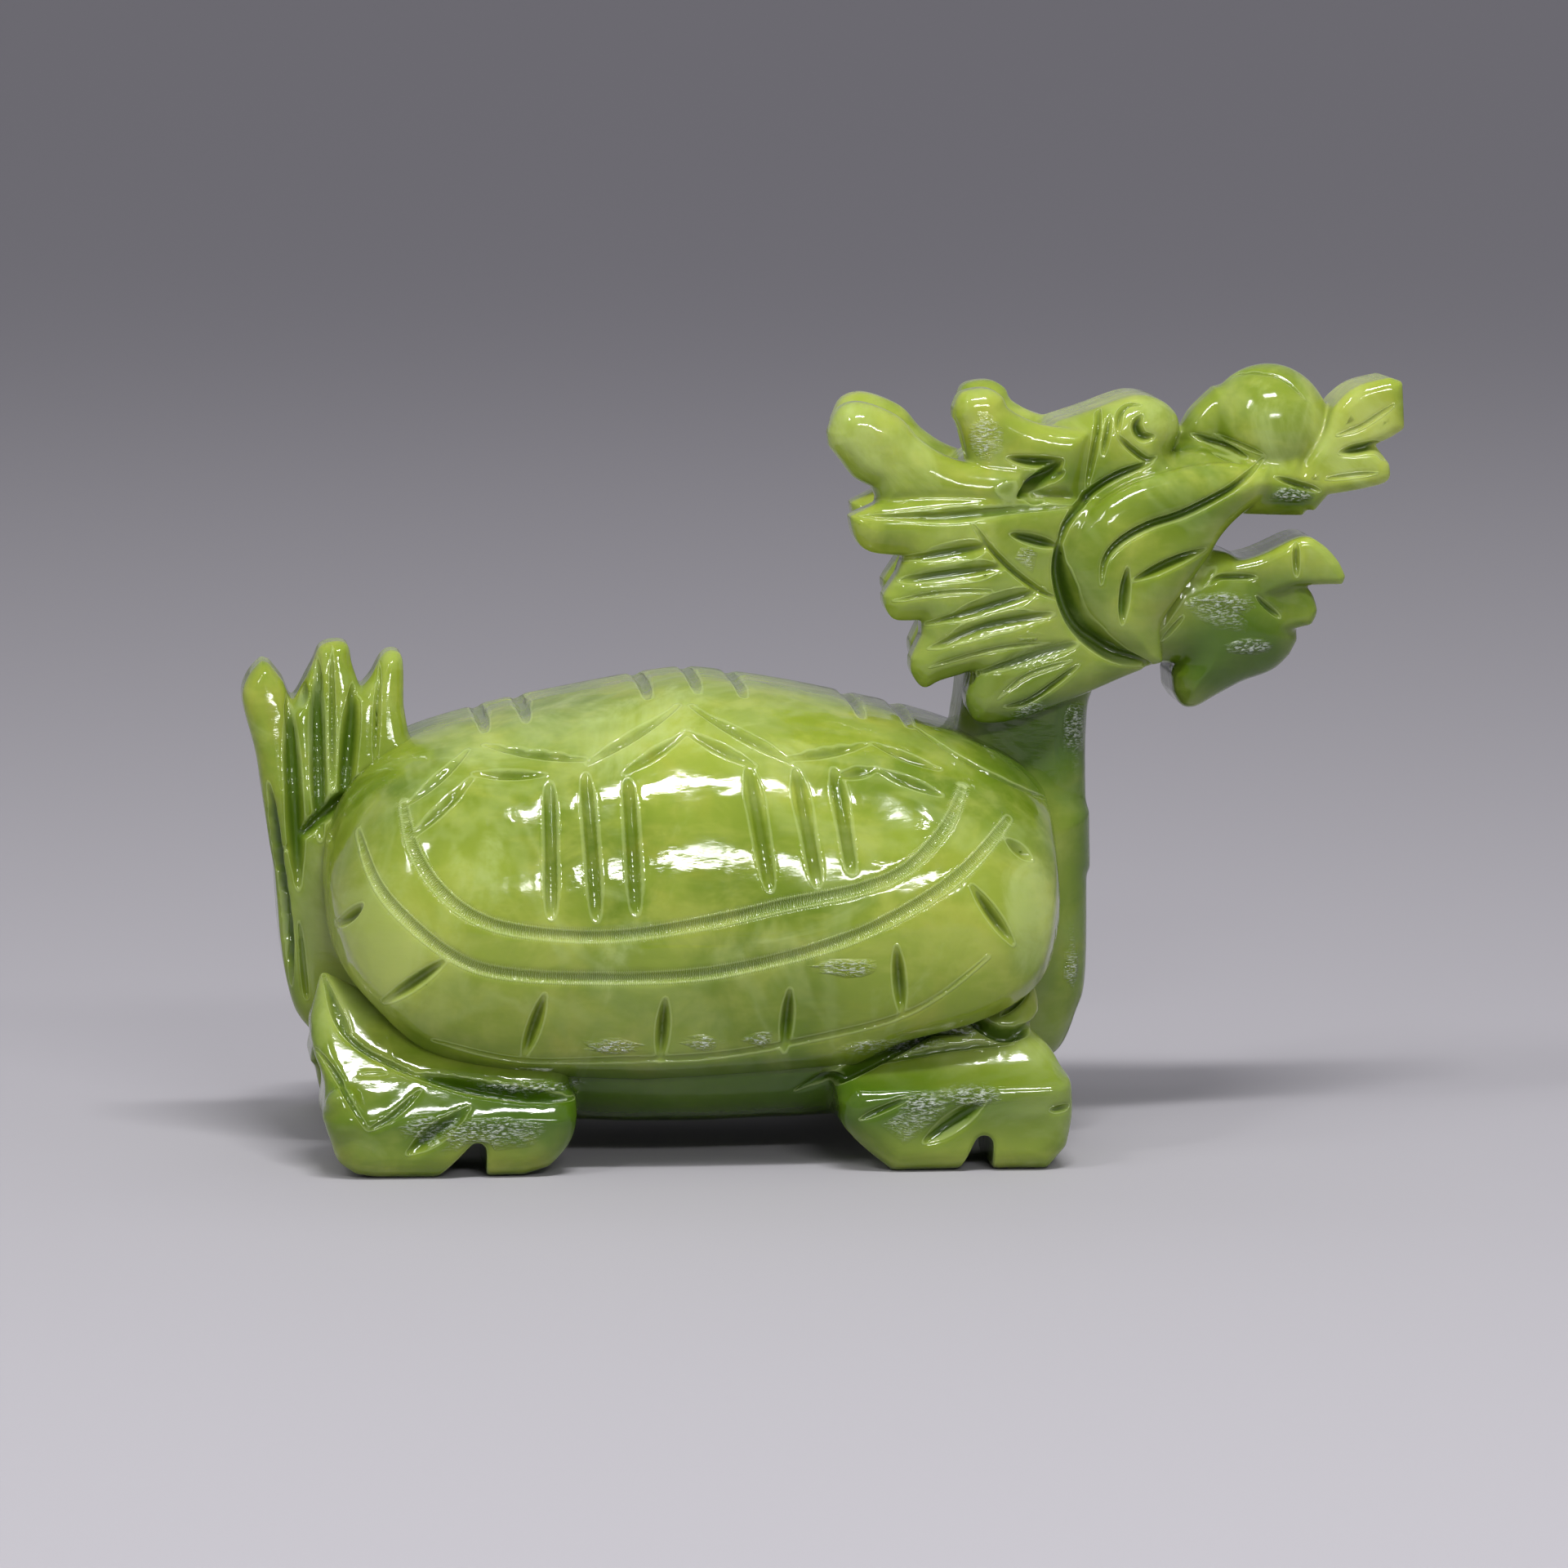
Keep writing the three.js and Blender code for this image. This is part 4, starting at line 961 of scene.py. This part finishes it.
def stone_material(look):
    """Polished translucent stone: clouds, pale veins, specks, missed patches and wheel marks, with
    painted shade in the cuts and in crowded and shadowed places, painted light on thin places and
    pale masses, painted highlights along the lips of the cuts and on the ring marks, and painted
    glints on the missed patches. The sizes of its clouds and the heights of its bumps are in metres."""
    material = bpy.data.materials.new("Polished green stone")
    material.use_nodes = True
    tree = material.node_tree
    tree.nodes.clear()
    w = Wiring(tree)
    place = w.node("ShaderNodeTexCoord").outputs["Object"]
    thin, shaded, shadowed, deep_tone_and_shade, pale_tone_and_light, cut, away, rough, run, ring = (
        w.node("ShaderNodeAttribute", attribute_name=name).outputs["Fac"] for name in MASKS)

    clouds = w.noise(place, 0.016, 3, 0.55, 0.4)
    mottle = w.noise(place, 0.0045, 4, 0.6, 0.3)
    grain = w.noise(place, 0.0009, 3, 0.6)
    streaks = w.noise(place, 0.006, 3, 0.6, 0.2, squash=(1, 1, 4), turn=(0, 0.7, 0.3))
    milk = w.noise(place, 0.012, 5, 0.62, 1.2)
    amber = w.noise(place, 0.009, 3, 0.6, 0.8)
    vein = w.math("ABSOLUTE", w.math("SUBTRACT", w.noise(place, 0.02, 4, 0.6, 0.9), 0.5))
    glints = w.noise(place, 0.0004, 2, 0.6, 0.3, squash=(1, 1, 3.5), turn=(0, 0.5, 0))
    scratch = w.noise(place, 0.0016, 3, 0.6, 0.3, squash=(1, 1, 3), turn=(0, 0.5, 0))
    waves = w.noise(place, 0.0035, 2, 0.5, 0.4)
    dull = w.noise(place, 0.003, 3, 0.6)

    # The painted light of the pale masses lifts the milky clouds
    milky = w.math("ADD", w.times(pale_tone_and_light, 0.3), milk)
    # Painted shade: the deep masses, crowded places and places under stone above
    dark = w.math("MAXIMUM", deep_tone_and_shade, w.times(shaded, 0.6))
    dark = w.math("MAXIMUM", dark, w.times(shadowed, 0.6))
    # Painted highlight: a thin band along the lips of the cuts
    lip_highlight = w.times(w.band(away, 0.02, 0.08), w.band(away, 0.22, 0.12))
    # Chatter marks of the wheel in the rings: pale stripes, partly scratched stone and partly a painted
    # sheen on their ribs
    teeth = w.times(w.math("SINE", w.times(run, 2 * math.pi / RING_TOOTH)), ring)
    specks = w.node("ShaderNodeTexVoronoi", {"Vector": place, "Scale": 1 / (SPECK_SPACING * MM)})
    # Missed patches, broken by the glint noise: partly frosted scratched stone, partly painted glints
    missed = w.times(rough, w.band(glints, 0.46, 0.66), clamp=True)

    # Each layer: where it lies, how strongly it covers what is under it, and its colour
    layers = (
        (w.band(mottle, 0.42, 0.72), 0.5, look.pale),
        (w.band(streaks, 0.5, 0.75), 0.25, look.pale),
        (w.band(amber, 0.55, 0.72), 0.3, look.amber),
        (w.band(milky, 0.58, 0.8), 0.5, look.milk),
        (w.band(vein, 0.05, 0.0), 0.16, look.milk),
        (w.band(grain, 0.55, 0.8), 0.12, look.deep),
        # Painted light shining through thin stone
        (thin, 0.3, look.thin),
        # Painted light on the pale masses, in the colour of thin stone
        (pale_tone_and_light, 0.4, look.thin),
        # Painted shade in the cuts, fuller where they sink deeper
        (cut, 0.8, look.shade),
        # Painted shade of the deep masses and of crowded and shadowed places
        (dark, 0.9, look.shade),
        # Painted highlight along the lips of the cuts
        (lip_highlight, 0.27, look.milk),
        # Chatter stripes in the rings: partly scratched stone, partly painted sheen
        (teeth, 0.5, look.milk),
        (w.band(specks.outputs["Distance"], 0.022, 0.012), 1.0, look.speck),
        # Frost-white on the missed patches: partly frosted stone, partly painted glints
        (missed, 0.6, look.frost_and_glint),
    )
    body = w.blend(w.band(clouds, 0.34, 0.66), linear(look.deep), linear(look.body))
    for where, strength, colour in layers:
        body = w.blend(w.times(where, strength, clamp=True), body, linear(colour))

    shape = w.times(waves, 0.00012)
    for relief, height in (
        (scratch, 0.000012), (lip_highlight, 0.00004), (teeth, 0.000012), (w.times(glints, rough), 0.0005),
    ):
        shape = w.math("ADD", shape, w.times(relief, height))
    bump = w.node("ShaderNodeBump", {"Height": shape, "Distance": 1.0, "Strength": 1.0})

    gloss = w.band(dull, 0.35, 0.7, 0.06, 0.14)
    gloss = w.math("ADD", gloss, w.times(missed, 0.2), clamp=True)
    surface = w.node(
        "ShaderNodeBsdfPrincipled",
        {"Base Color": body, "Roughness": gloss, "Normal": bump.outputs[0], "IOR": 1.5,
         "Subsurface Weight": look.depth_share,
         "Subsurface Radius": (0.75, 1.0, 0.18), "Subsurface Scale": look.depth_size},
    )
    w.node("ShaderNodeOutputMaterial", {0: surface.outputs[0]})
    return material


class Surroundings:
    """The stone round about each place, on a coarse grid: how crowded it is and how much lies above it,
    which give the painted shade.
    """

    def __init__(self, pieces, low, high):
        self.grid = Block(low, high, AROUND_STEP)
        xs, ys, zs = self.grid.axes
        places = np.stack(np.meshgrid(xs, ys, zs, indexing="ij"), -1).reshape(-1, 3).astype(float)
        stone = np.zeros(len(places))
        for block, field in pieces:
            top = block.low + (np.array(field.shape) - 1) * block.step
            inside = ((places > block.low) & (places < top)).all(1)
            stone[inside] = np.maximum(stone[inside], block.sample(field, places[inside]) < 0)
        stone = stone.reshape(self.grid.stone.shape)
        close = stone.copy()
        close[:, :, zs < 0] = 0.5
        above = np.cumsum(stone[:, :, ::-1], axis=2)[:, :, ::-1]
        self.close = blurred(close, AROUND_BLUR, CLOSE_ROUNDS)
        self.above = blurred(above, AROUND_BLUR, ABOVE_ROUNDS)

    def share(self, field, points, outward, effect):
        """How much of an effect lies before places of the surface, 0 to 1."""
        probe, start, growth = effect
        return np.clip((self.grid.sample(field, points + outward * probe) - start) / growth, 0, 1)


def share_of_radii(points, along, up, reach_x, reach_z):
    """How far points of the side view lie from the middle of a patch, in shares of its radii."""
    return np.hypot((points[:, 0] - along) / reach_x, (points[:, 2] - up) / reach_z)


def mass_at(points, masses):
    """How deep places of the side view lie in a list of soft round masses, 0 to 1."""
    total = np.zeros(len(points))
    for *patch, share in masses:
        total = np.maximum(total, share * np.clip(MASS_REACH - share_of_radii(points, *patch), 0, 1))
    return total


def unpolished_at(points, outward):
    """Where the polish missed the stone, 0 to 1: only on faces that are turned to the side."""
    rough = np.zeros(len(points))
    for patch in ROUGH_PATCHES:
        inward = (PATCH_REACH - share_of_radii(points, *patch)) / PATCH_FADE
        rough = np.maximum(rough, np.clip(inward, 0, 1))
    return rough * np.clip(2.5 * np.abs(outward[:, 1]) - 1, 0, 1)


def ring_marks(points, rings):
    """How far along a ring groove points lie, and how much they lie in it, 0 to 1."""
    run = np.zeros(len(points))
    ring = np.zeros(len(points))
    start, fade = RING_EDGE
    for path in rings:
        marks = np.concatenate([[0], np.cumsum(np.linalg.norm(np.diff(path, axis=0), axis=1))])
        low, high = path.min(0) - MARGIN, path.max(0) + MARGIN
        near = np.flatnonzero(((points > low) & (points < high)).all(1))
        for part in np.array_split(near, max(len(near) // 4000, 1)):
            away = np.linalg.norm(points[part][:, None, :] - path[None, :, :], axis=2)
            inside = away.min(1) < RING_REACH
            run[part[inside]] = marks[away.argmin(1)[inside]]
            ring[part[inside]] = np.clip((start - away.min(1)[inside]) / fade, 0, 1)
    return run, ring


def store_masks(block, field, mesh, rings, around):
    """Keeps on the mesh the numbers that the material reads, one for each of its points, among them
    the masks of painted shade and painted light. On the piece with the rings, cuts reach their full
    painted shade further down and the painted highlights along their lips are wider."""
    full_depth, lip_width = SHELL_CUT_MARKS if rings else CUT_MARKS
    points = points_of(mesh)
    outward = unit(block.slope(field, points))
    depth_in = -block.sample(field, points - outward * THIN_PROBE)
    sunk = -block.sample(block.stone, points)
    masks = (
        # thin places, which the material paints with light shining through
        np.clip(1 - depth_in / THIN_DEPTH, 0, 1),
        # painted shade where stone crowds round a place
        around.share(around.close, points, outward, CROWDED),
        # painted shadow under stone above
        around.share(around.above, points, outward, SHADOWED_FROM_ABOVE),
        # deeper tone of the stone, with painted shade where shade falls
        mass_at(points, DEEP_TONE_AND_SHADE_MASSES),
        # paler tone of the stone, with painted light where light falls
        mass_at(points, PALE_TONE_AND_LIGHT_MASSES),
        # painted shade in the cuts
        np.clip((sunk - CUT_START) / full_depth, 0, 1),
        # band along the lips of the cuts, for the painted highlight
        np.clip(block.sample(block.cuts, points) / lip_width, 0, 1),
        unpolished_at(points, outward),
        *ring_marks(points, rings),
    )
    for name, values in zip(MASKS, masks):
        attribute = mesh.attributes.new(name, "FLOAT", "POINT")
        attribute.data.foreach_set("value", values.astype(np.float32))


def stone_object(name, block, field, sizes, material):
    """The surface of a carved block as a finished object, thinned out and hand polished."""
    points, quads = largest_piece(*skin(block, field))
    obj = bpy.data.objects.new(name, mesh_from("raw stone", points, quads))
    bpy.context.scene.collection.objects.link(obj)
    thin_out = obj.modifiers.new("Fewer faces", "DECIMATE")
    thin_out.use_collapse_triangulate = True
    thin_out.ratio = min(1.0, sizes.triangles / (2 * len(quads)))
    applied(obj, "thinned stone")
    tree = ripple_tree(material)
    ripple = obj.modifiers.new("Ripple", "NODES")
    ripple.node_group = tree
    ripple[socket_of(tree, "Depth")] = sizes.ripple_depth
    ripple[socket_of(tree, "Size")] = sizes.ripple_size
    ripple[socket_of(tree, "Seed")] = sizes.ripple_seed
    mesh = applied(obj, name)
    mesh.materials.clear()
    mesh.materials.append(material)
    mesh.shade_smooth()
    return obj


def aimed(name, data, around, up, distance):
    """A camera or a lamp turned to the point looked at: its turn round it and its rise are
    angles, and its distance is in metres."""
    way = Vector((math.sin(around) * math.cos(up), -math.cos(around) * math.cos(up), math.sin(up)))
    made = bpy.data.objects.new(name, data)
    made.location = Vector(VIEW_MIDDLE) * MM + way * distance
    made.rotation_mode = "QUATERNION"
    made.rotation_quaternion = (-way).to_track_quat("-Z", "Y")
    bpy.context.scene.collection.objects.link(made)
    return made


class CarvingSizes(bpy.types.PropertyGroup):
    """Sizes of the carving"""

    shell_step: FloatProperty(
        name="Shell grid step", description="Gap between the points of the shell's grid",
        default=0.17 * MM, min=0.1 * MM, max=1 * MM, precision=5, unit="LENGTH")
    body_step: FloatProperty(
        name="Body grid step", description="Gap between the points of the body's grid",
        default=0.18 * MM, min=0.1 * MM, max=1 * MM, precision=5, unit="LENGTH")
    head_step: FloatProperty(
        name="Head grid step", description="Gap between the points of the head's grid",
        default=0.13 * MM, min=0.1 * MM, max=1 * MM, precision=5, unit="LENGTH")
    joint_softness: FloatProperty(
        name="Joint softness", description="How far the joints between the forms are rounded",
        default=0.4 * MM, min=0, max=2 * MM, precision=5, unit="LENGTH")
    lip_softness: FloatProperty(
        name="Lip softness", description="How far the lips of the cuts are rounded",
        default=0.18 * MM, min=0.05 * MM, max=1 * MM, precision=5, unit="LENGTH")
    ripple_depth: FloatProperty(
        name="Ripple depth", description="Height of the waves that hand polishing leaves",
        default=0.3 * MM, min=0, max=0.5 * MM, precision=5, unit="LENGTH")
    ripple_size: FloatProperty(
        name="Ripple size", description="Distance between the waves that hand polishing leaves",
        default=8 * MM, min=1 * MM, max=20 * MM, precision=5, unit="LENGTH")
    ripple_seed: IntProperty(
        name="Ripple seed", description="Picks another set of waves", default=7, min=0)
    triangles: IntProperty(
        name="Triangles", description="The most triangles in each finished piece",
        default=194000, min=20000, max=199000)


class StoneLook(bpy.types.PropertyGroup):
    """Colours of the stone"""

    body: FloatVectorProperty(
        name="Body", description="Main colour of the stone", subtype="COLOR",
        default=(0.54, 0.61, 0.19), min=0, max=1)
    deep: FloatVectorProperty(
        name="Deep", description="Darker green of the clouds and the grain", subtype="COLOR",
        default=(0.38, 0.475, 0.09), min=0, max=1)
    pale: FloatVectorProperty(
        name="Pale", description="Lighter mottling", subtype="COLOR",
        default=(0.68, 0.71, 0.33), min=0, max=1)
    # Milk also paints the highlights along the lips of the cuts and the sheen on the ring marks
    milk: FloatVectorProperty(
        name="Milk", description="Milky clouds and veins", subtype="COLOR",
        default=(0.72, 0.78, 0.52), min=0, max=1)
    # The thin colour is painted light shining through thin stone, also used for the painted light of the
    # pale masses
    thin: FloatVectorProperty(
        name="Thin", description="Where light passes through thin stone", subtype="COLOR",
        default=(0.69, 0.73, 0.3), min=0, max=1)
    amber: FloatVectorProperty(
        name="Amber", description="Yellow-brown clouds", subtype="COLOR",
        default=(0.68, 0.66, 0.26), min=0, max=1)
    # Frost and glint: the whitish frost of scratched stone together with painted glints on the missed
    # patches
    frost_and_glint: FloatVectorProperty(
        name="Frost", description="Scratched patches that the polishing missed", subtype="COLOR",
        default=(0.95, 0.97, 0.95), min=0, max=1)
    # Shade is painted shade: in the cuts, in crowded places, under stone above and in the deep masses
    shade: FloatVectorProperty(
        name="Shade", description="Deep green of the cuts and of thick or hidden stone", subtype="COLOR",
        default=(0.22, 0.34, 0.03), min=0, max=1)
    speck: FloatVectorProperty(
        name="Speck", description="Small dark specks", subtype="COLOR",
        default=(0.16, 0.14, 0.07), min=0, max=1)
    depth_share: FloatProperty(
        name="Translucency", description="Share of the light that passes through the stone",
        default=0.35, min=0, max=1, subtype="FACTOR")
    depth_size: FloatProperty(
        name="Light depth", description="How far light passes into the stone",
        default=2.2 * MM, min=0, max=20 * MM, precision=5, unit="LENGTH")


class StudioSizes(bpy.types.PropertyGroup):
    """The floor, the lights and the camera"""

    floor_colour: FloatVectorProperty(
        name="Floor", description="Colour of the plain floor", subtype="COLOR",
        default=(0.66, 0.65, 0.67), min=0, max=1)
    sky_strength: FloatProperty(
        name="Sky strength", description="Strength of the even light from all round",
        default=0.34, min=0, max=5)
    light_power: FloatProperty(
        name="Light power", description="Power that each soft box takes a share of",
        default=1.45, min=0, max=200, unit="POWER")
    camera_distance: FloatProperty(
        name="Camera distance", description="From the camera to the middle of the figure",
        default=0.6, min=0.1, max=5, unit="LENGTH")
    camera_turn: FloatProperty(
        name="Camera turn", description="How far the camera stands round towards the head",
        default=math.radians(-5), subtype="ANGLE")
    camera_rise: FloatProperty(
        name="Camera rise", description="How far the camera looks down",
        default=math.radians(6.5), subtype="ANGLE")
    lens: FloatProperty(
        name="Lens", description="Focal length of the camera", default=187.5, min=20, max=400)


class CARVING_OT_figure(bpy.types.Operator):
    """Carve the dragon turtle in place of its plain solid"""

    bl_idname = "stone_carving.figure"
    bl_label = "Carve the dragon turtle"

    def execute(self, context):
        sizes = context.scene.carving_sizes
        material = stone_material(context.scene.stone_look)
        low, high = (np.array(corner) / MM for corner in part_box(FIGURE))
        softness = sizes.joint_softness / MM
        shell = Block((SHELL_START[0], low[1] - MARGIN, SHELL_START[1]),
                      (SHELL_REACH[0], high[1] + MARGIN, SHELL_REACH[1]), sizes.shell_step / MM)
        body = Block(low - MARGIN, (BODY_REACH[0], high[1] + MARGIN, BODY_REACH[1]),
                     sizes.body_step / MM)
        head = Block((HEAD_START[0], -HEAD_HALF_WIDTH, HEAD_START[1]),
                     (high[0] + MARGIN, HEAD_HALF_WIDTH, high[2] + HEAD_HEADROOM), sizes.head_step / MM)
        add_dome(shell, SHELL, softness, outline_of(KEEL))
        add_body(body, softness)
        add_head(head, softness)
        cut_toe_slots(body)
        pieces = []
        for name, block, paths in (
            ("shell", shell, side_paths(shell, SHELL_CUTS) + ridge_paths(shell)),
            ("body", body, side_paths(body, TAIL_CUTS) + side_paths(body, FOOT_CUTS)),
            ("head", head, side_paths(head, HEAD_CUTS, FAR_HEAD_SETBACK)),
        ):
            for kind, path in paths:
                wheel_cut(block, path, CUT_KINDS[kind])
            field = soft_max(block.stone, -block.cuts, sizes.lip_softness / MM)
            ground = -block.axes[2][None, None, :]
            field = blurred(np.maximum(field, ground), BLUR, BLUR_ROUNDS).astype(np.float32)
            pieces.append(("dragon_turtle_" + name, block, field, paths))
        around = Surroundings([piece[1:3] for piece in pieces], low - AROUND_ROOM, high + AROUND_ROOM)
        for name, block, field, paths in pieces:
            obj = stone_object(name, block, field, sizes, material)
            rings = [path for kind, path in paths if kind == "ring"]
            store_masks(block, field, obj.data, rings, around)
            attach(obj, "root")
            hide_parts(FIGURE)
        return {"FINISHED"}


class CARVING_OT_studio(bpy.types.Operator):
    """Set the floor, the lights and the camera"""

    bl_idname = "stone_carving.studio"
    bl_label = "Set the studio"

    def execute(self, context):
        scene, studio = context.scene, context.scene.studio_sizes
        corners = [(x * FLOOR_REACH, y * FLOOR_REACH, 0) for x, y in ((-1, -1), (1, -1), (1, 1), (-1, 1))]
        floor_mesh = mesh_from("floor", np.array(corners), np.array([(0, 1, 2, 3)]))
        floor = bpy.data.objects.new("floor", floor_mesh)
        paint = bpy.data.materials.new("Plain floor")
        paint.use_nodes = True
        surface = paint.node_tree.nodes["Principled BSDF"]
        surface.inputs["Base Color"].default_value = linear(studio.floor_colour)
        surface.inputs["Roughness"].default_value = 0.75
        floor.data.materials.append(paint)
        scene.collection.objects.link(floor)

        camera = bpy.data.cameras.new("camera")
        camera.lens = studio.lens
        camera.sensor_width = 36
        camera.clip_start = 0.01
        camera.clip_end = 50
        turn, rise = studio.camera_turn, studio.camera_rise
        scene.camera = aimed("camera", camera, turn, rise, studio.camera_distance)

        for name, (around, up, distance, width, height, share, mirrored) in SOFT_BOXES.items():
            lamp = bpy.data.lights.new(name, "AREA")
            lamp.shape = "RECTANGLE"
            lamp.size = width
            lamp.size_y = height
            lamp.energy = studio.light_power * share
            stand = aimed(name, lamp, math.radians(around), math.radians(up), distance)
            stand.visible_glossy = mirrored

        world = bpy.data.worlds.new("Studio air")
        world.use_nodes = True
        sky = world.node_tree.nodes["Background"]
        sky.inputs["Color"].default_value = SKY_TINT
        sky.inputs["Strength"].default_value = studio.sky_strength
        scene.world = world
        scene.view_settings.view_transform = "Standard"
        return {"FINISHED"}


class CARVING_PT_panel(bpy.types.Panel):
    """The carving's sizes and colours in the sidebar"""

    bl_idname = "CARVING_PT_panel"
    bl_label = "Stone dragon turtle"
    bl_space_type = "VIEW_3D"
    bl_region_type = "UI"
    bl_category = "Stone carving"

    def draw(self, context):
        layout = self.layout
        for group, operator in (
            (context.scene.carving_sizes, CARVING_OT_figure),
            (context.scene.stone_look, None),
            (context.scene.studio_sizes, CARVING_OT_studio),
        ):
            for name in group.bl_rna.properties.keys():
                if name not in ("rna_type", "name"):
                    layout.prop(group, name)
            if operator:
                layout.operator(operator.bl_idname)


CLASSES = (CarvingSizes, StoneLook, StudioSizes, CARVING_OT_figure, CARVING_OT_studio, CARVING_PT_panel)
GROUPS = {"carving_sizes": CarvingSizes, "stone_look": StoneLook, "studio_sizes": StudioSizes}


def register():
    for cls in CLASSES:
        bpy.utils.register_class(cls)
    for name, group in GROUPS.items():
        setattr(bpy.types.Scene, name, PointerProperty(type=group))


def unregister():
    for name in GROUPS:
        delattr(bpy.types.Scene, name)
    for cls in reversed(CLASSES):
        bpy.utils.unregister_class(cls)


def main():
    register()
    bpy.ops.stone_carving.studio()
    bpy.ops.stone_carving.figure()


if __name__ == "__main__":
    main()
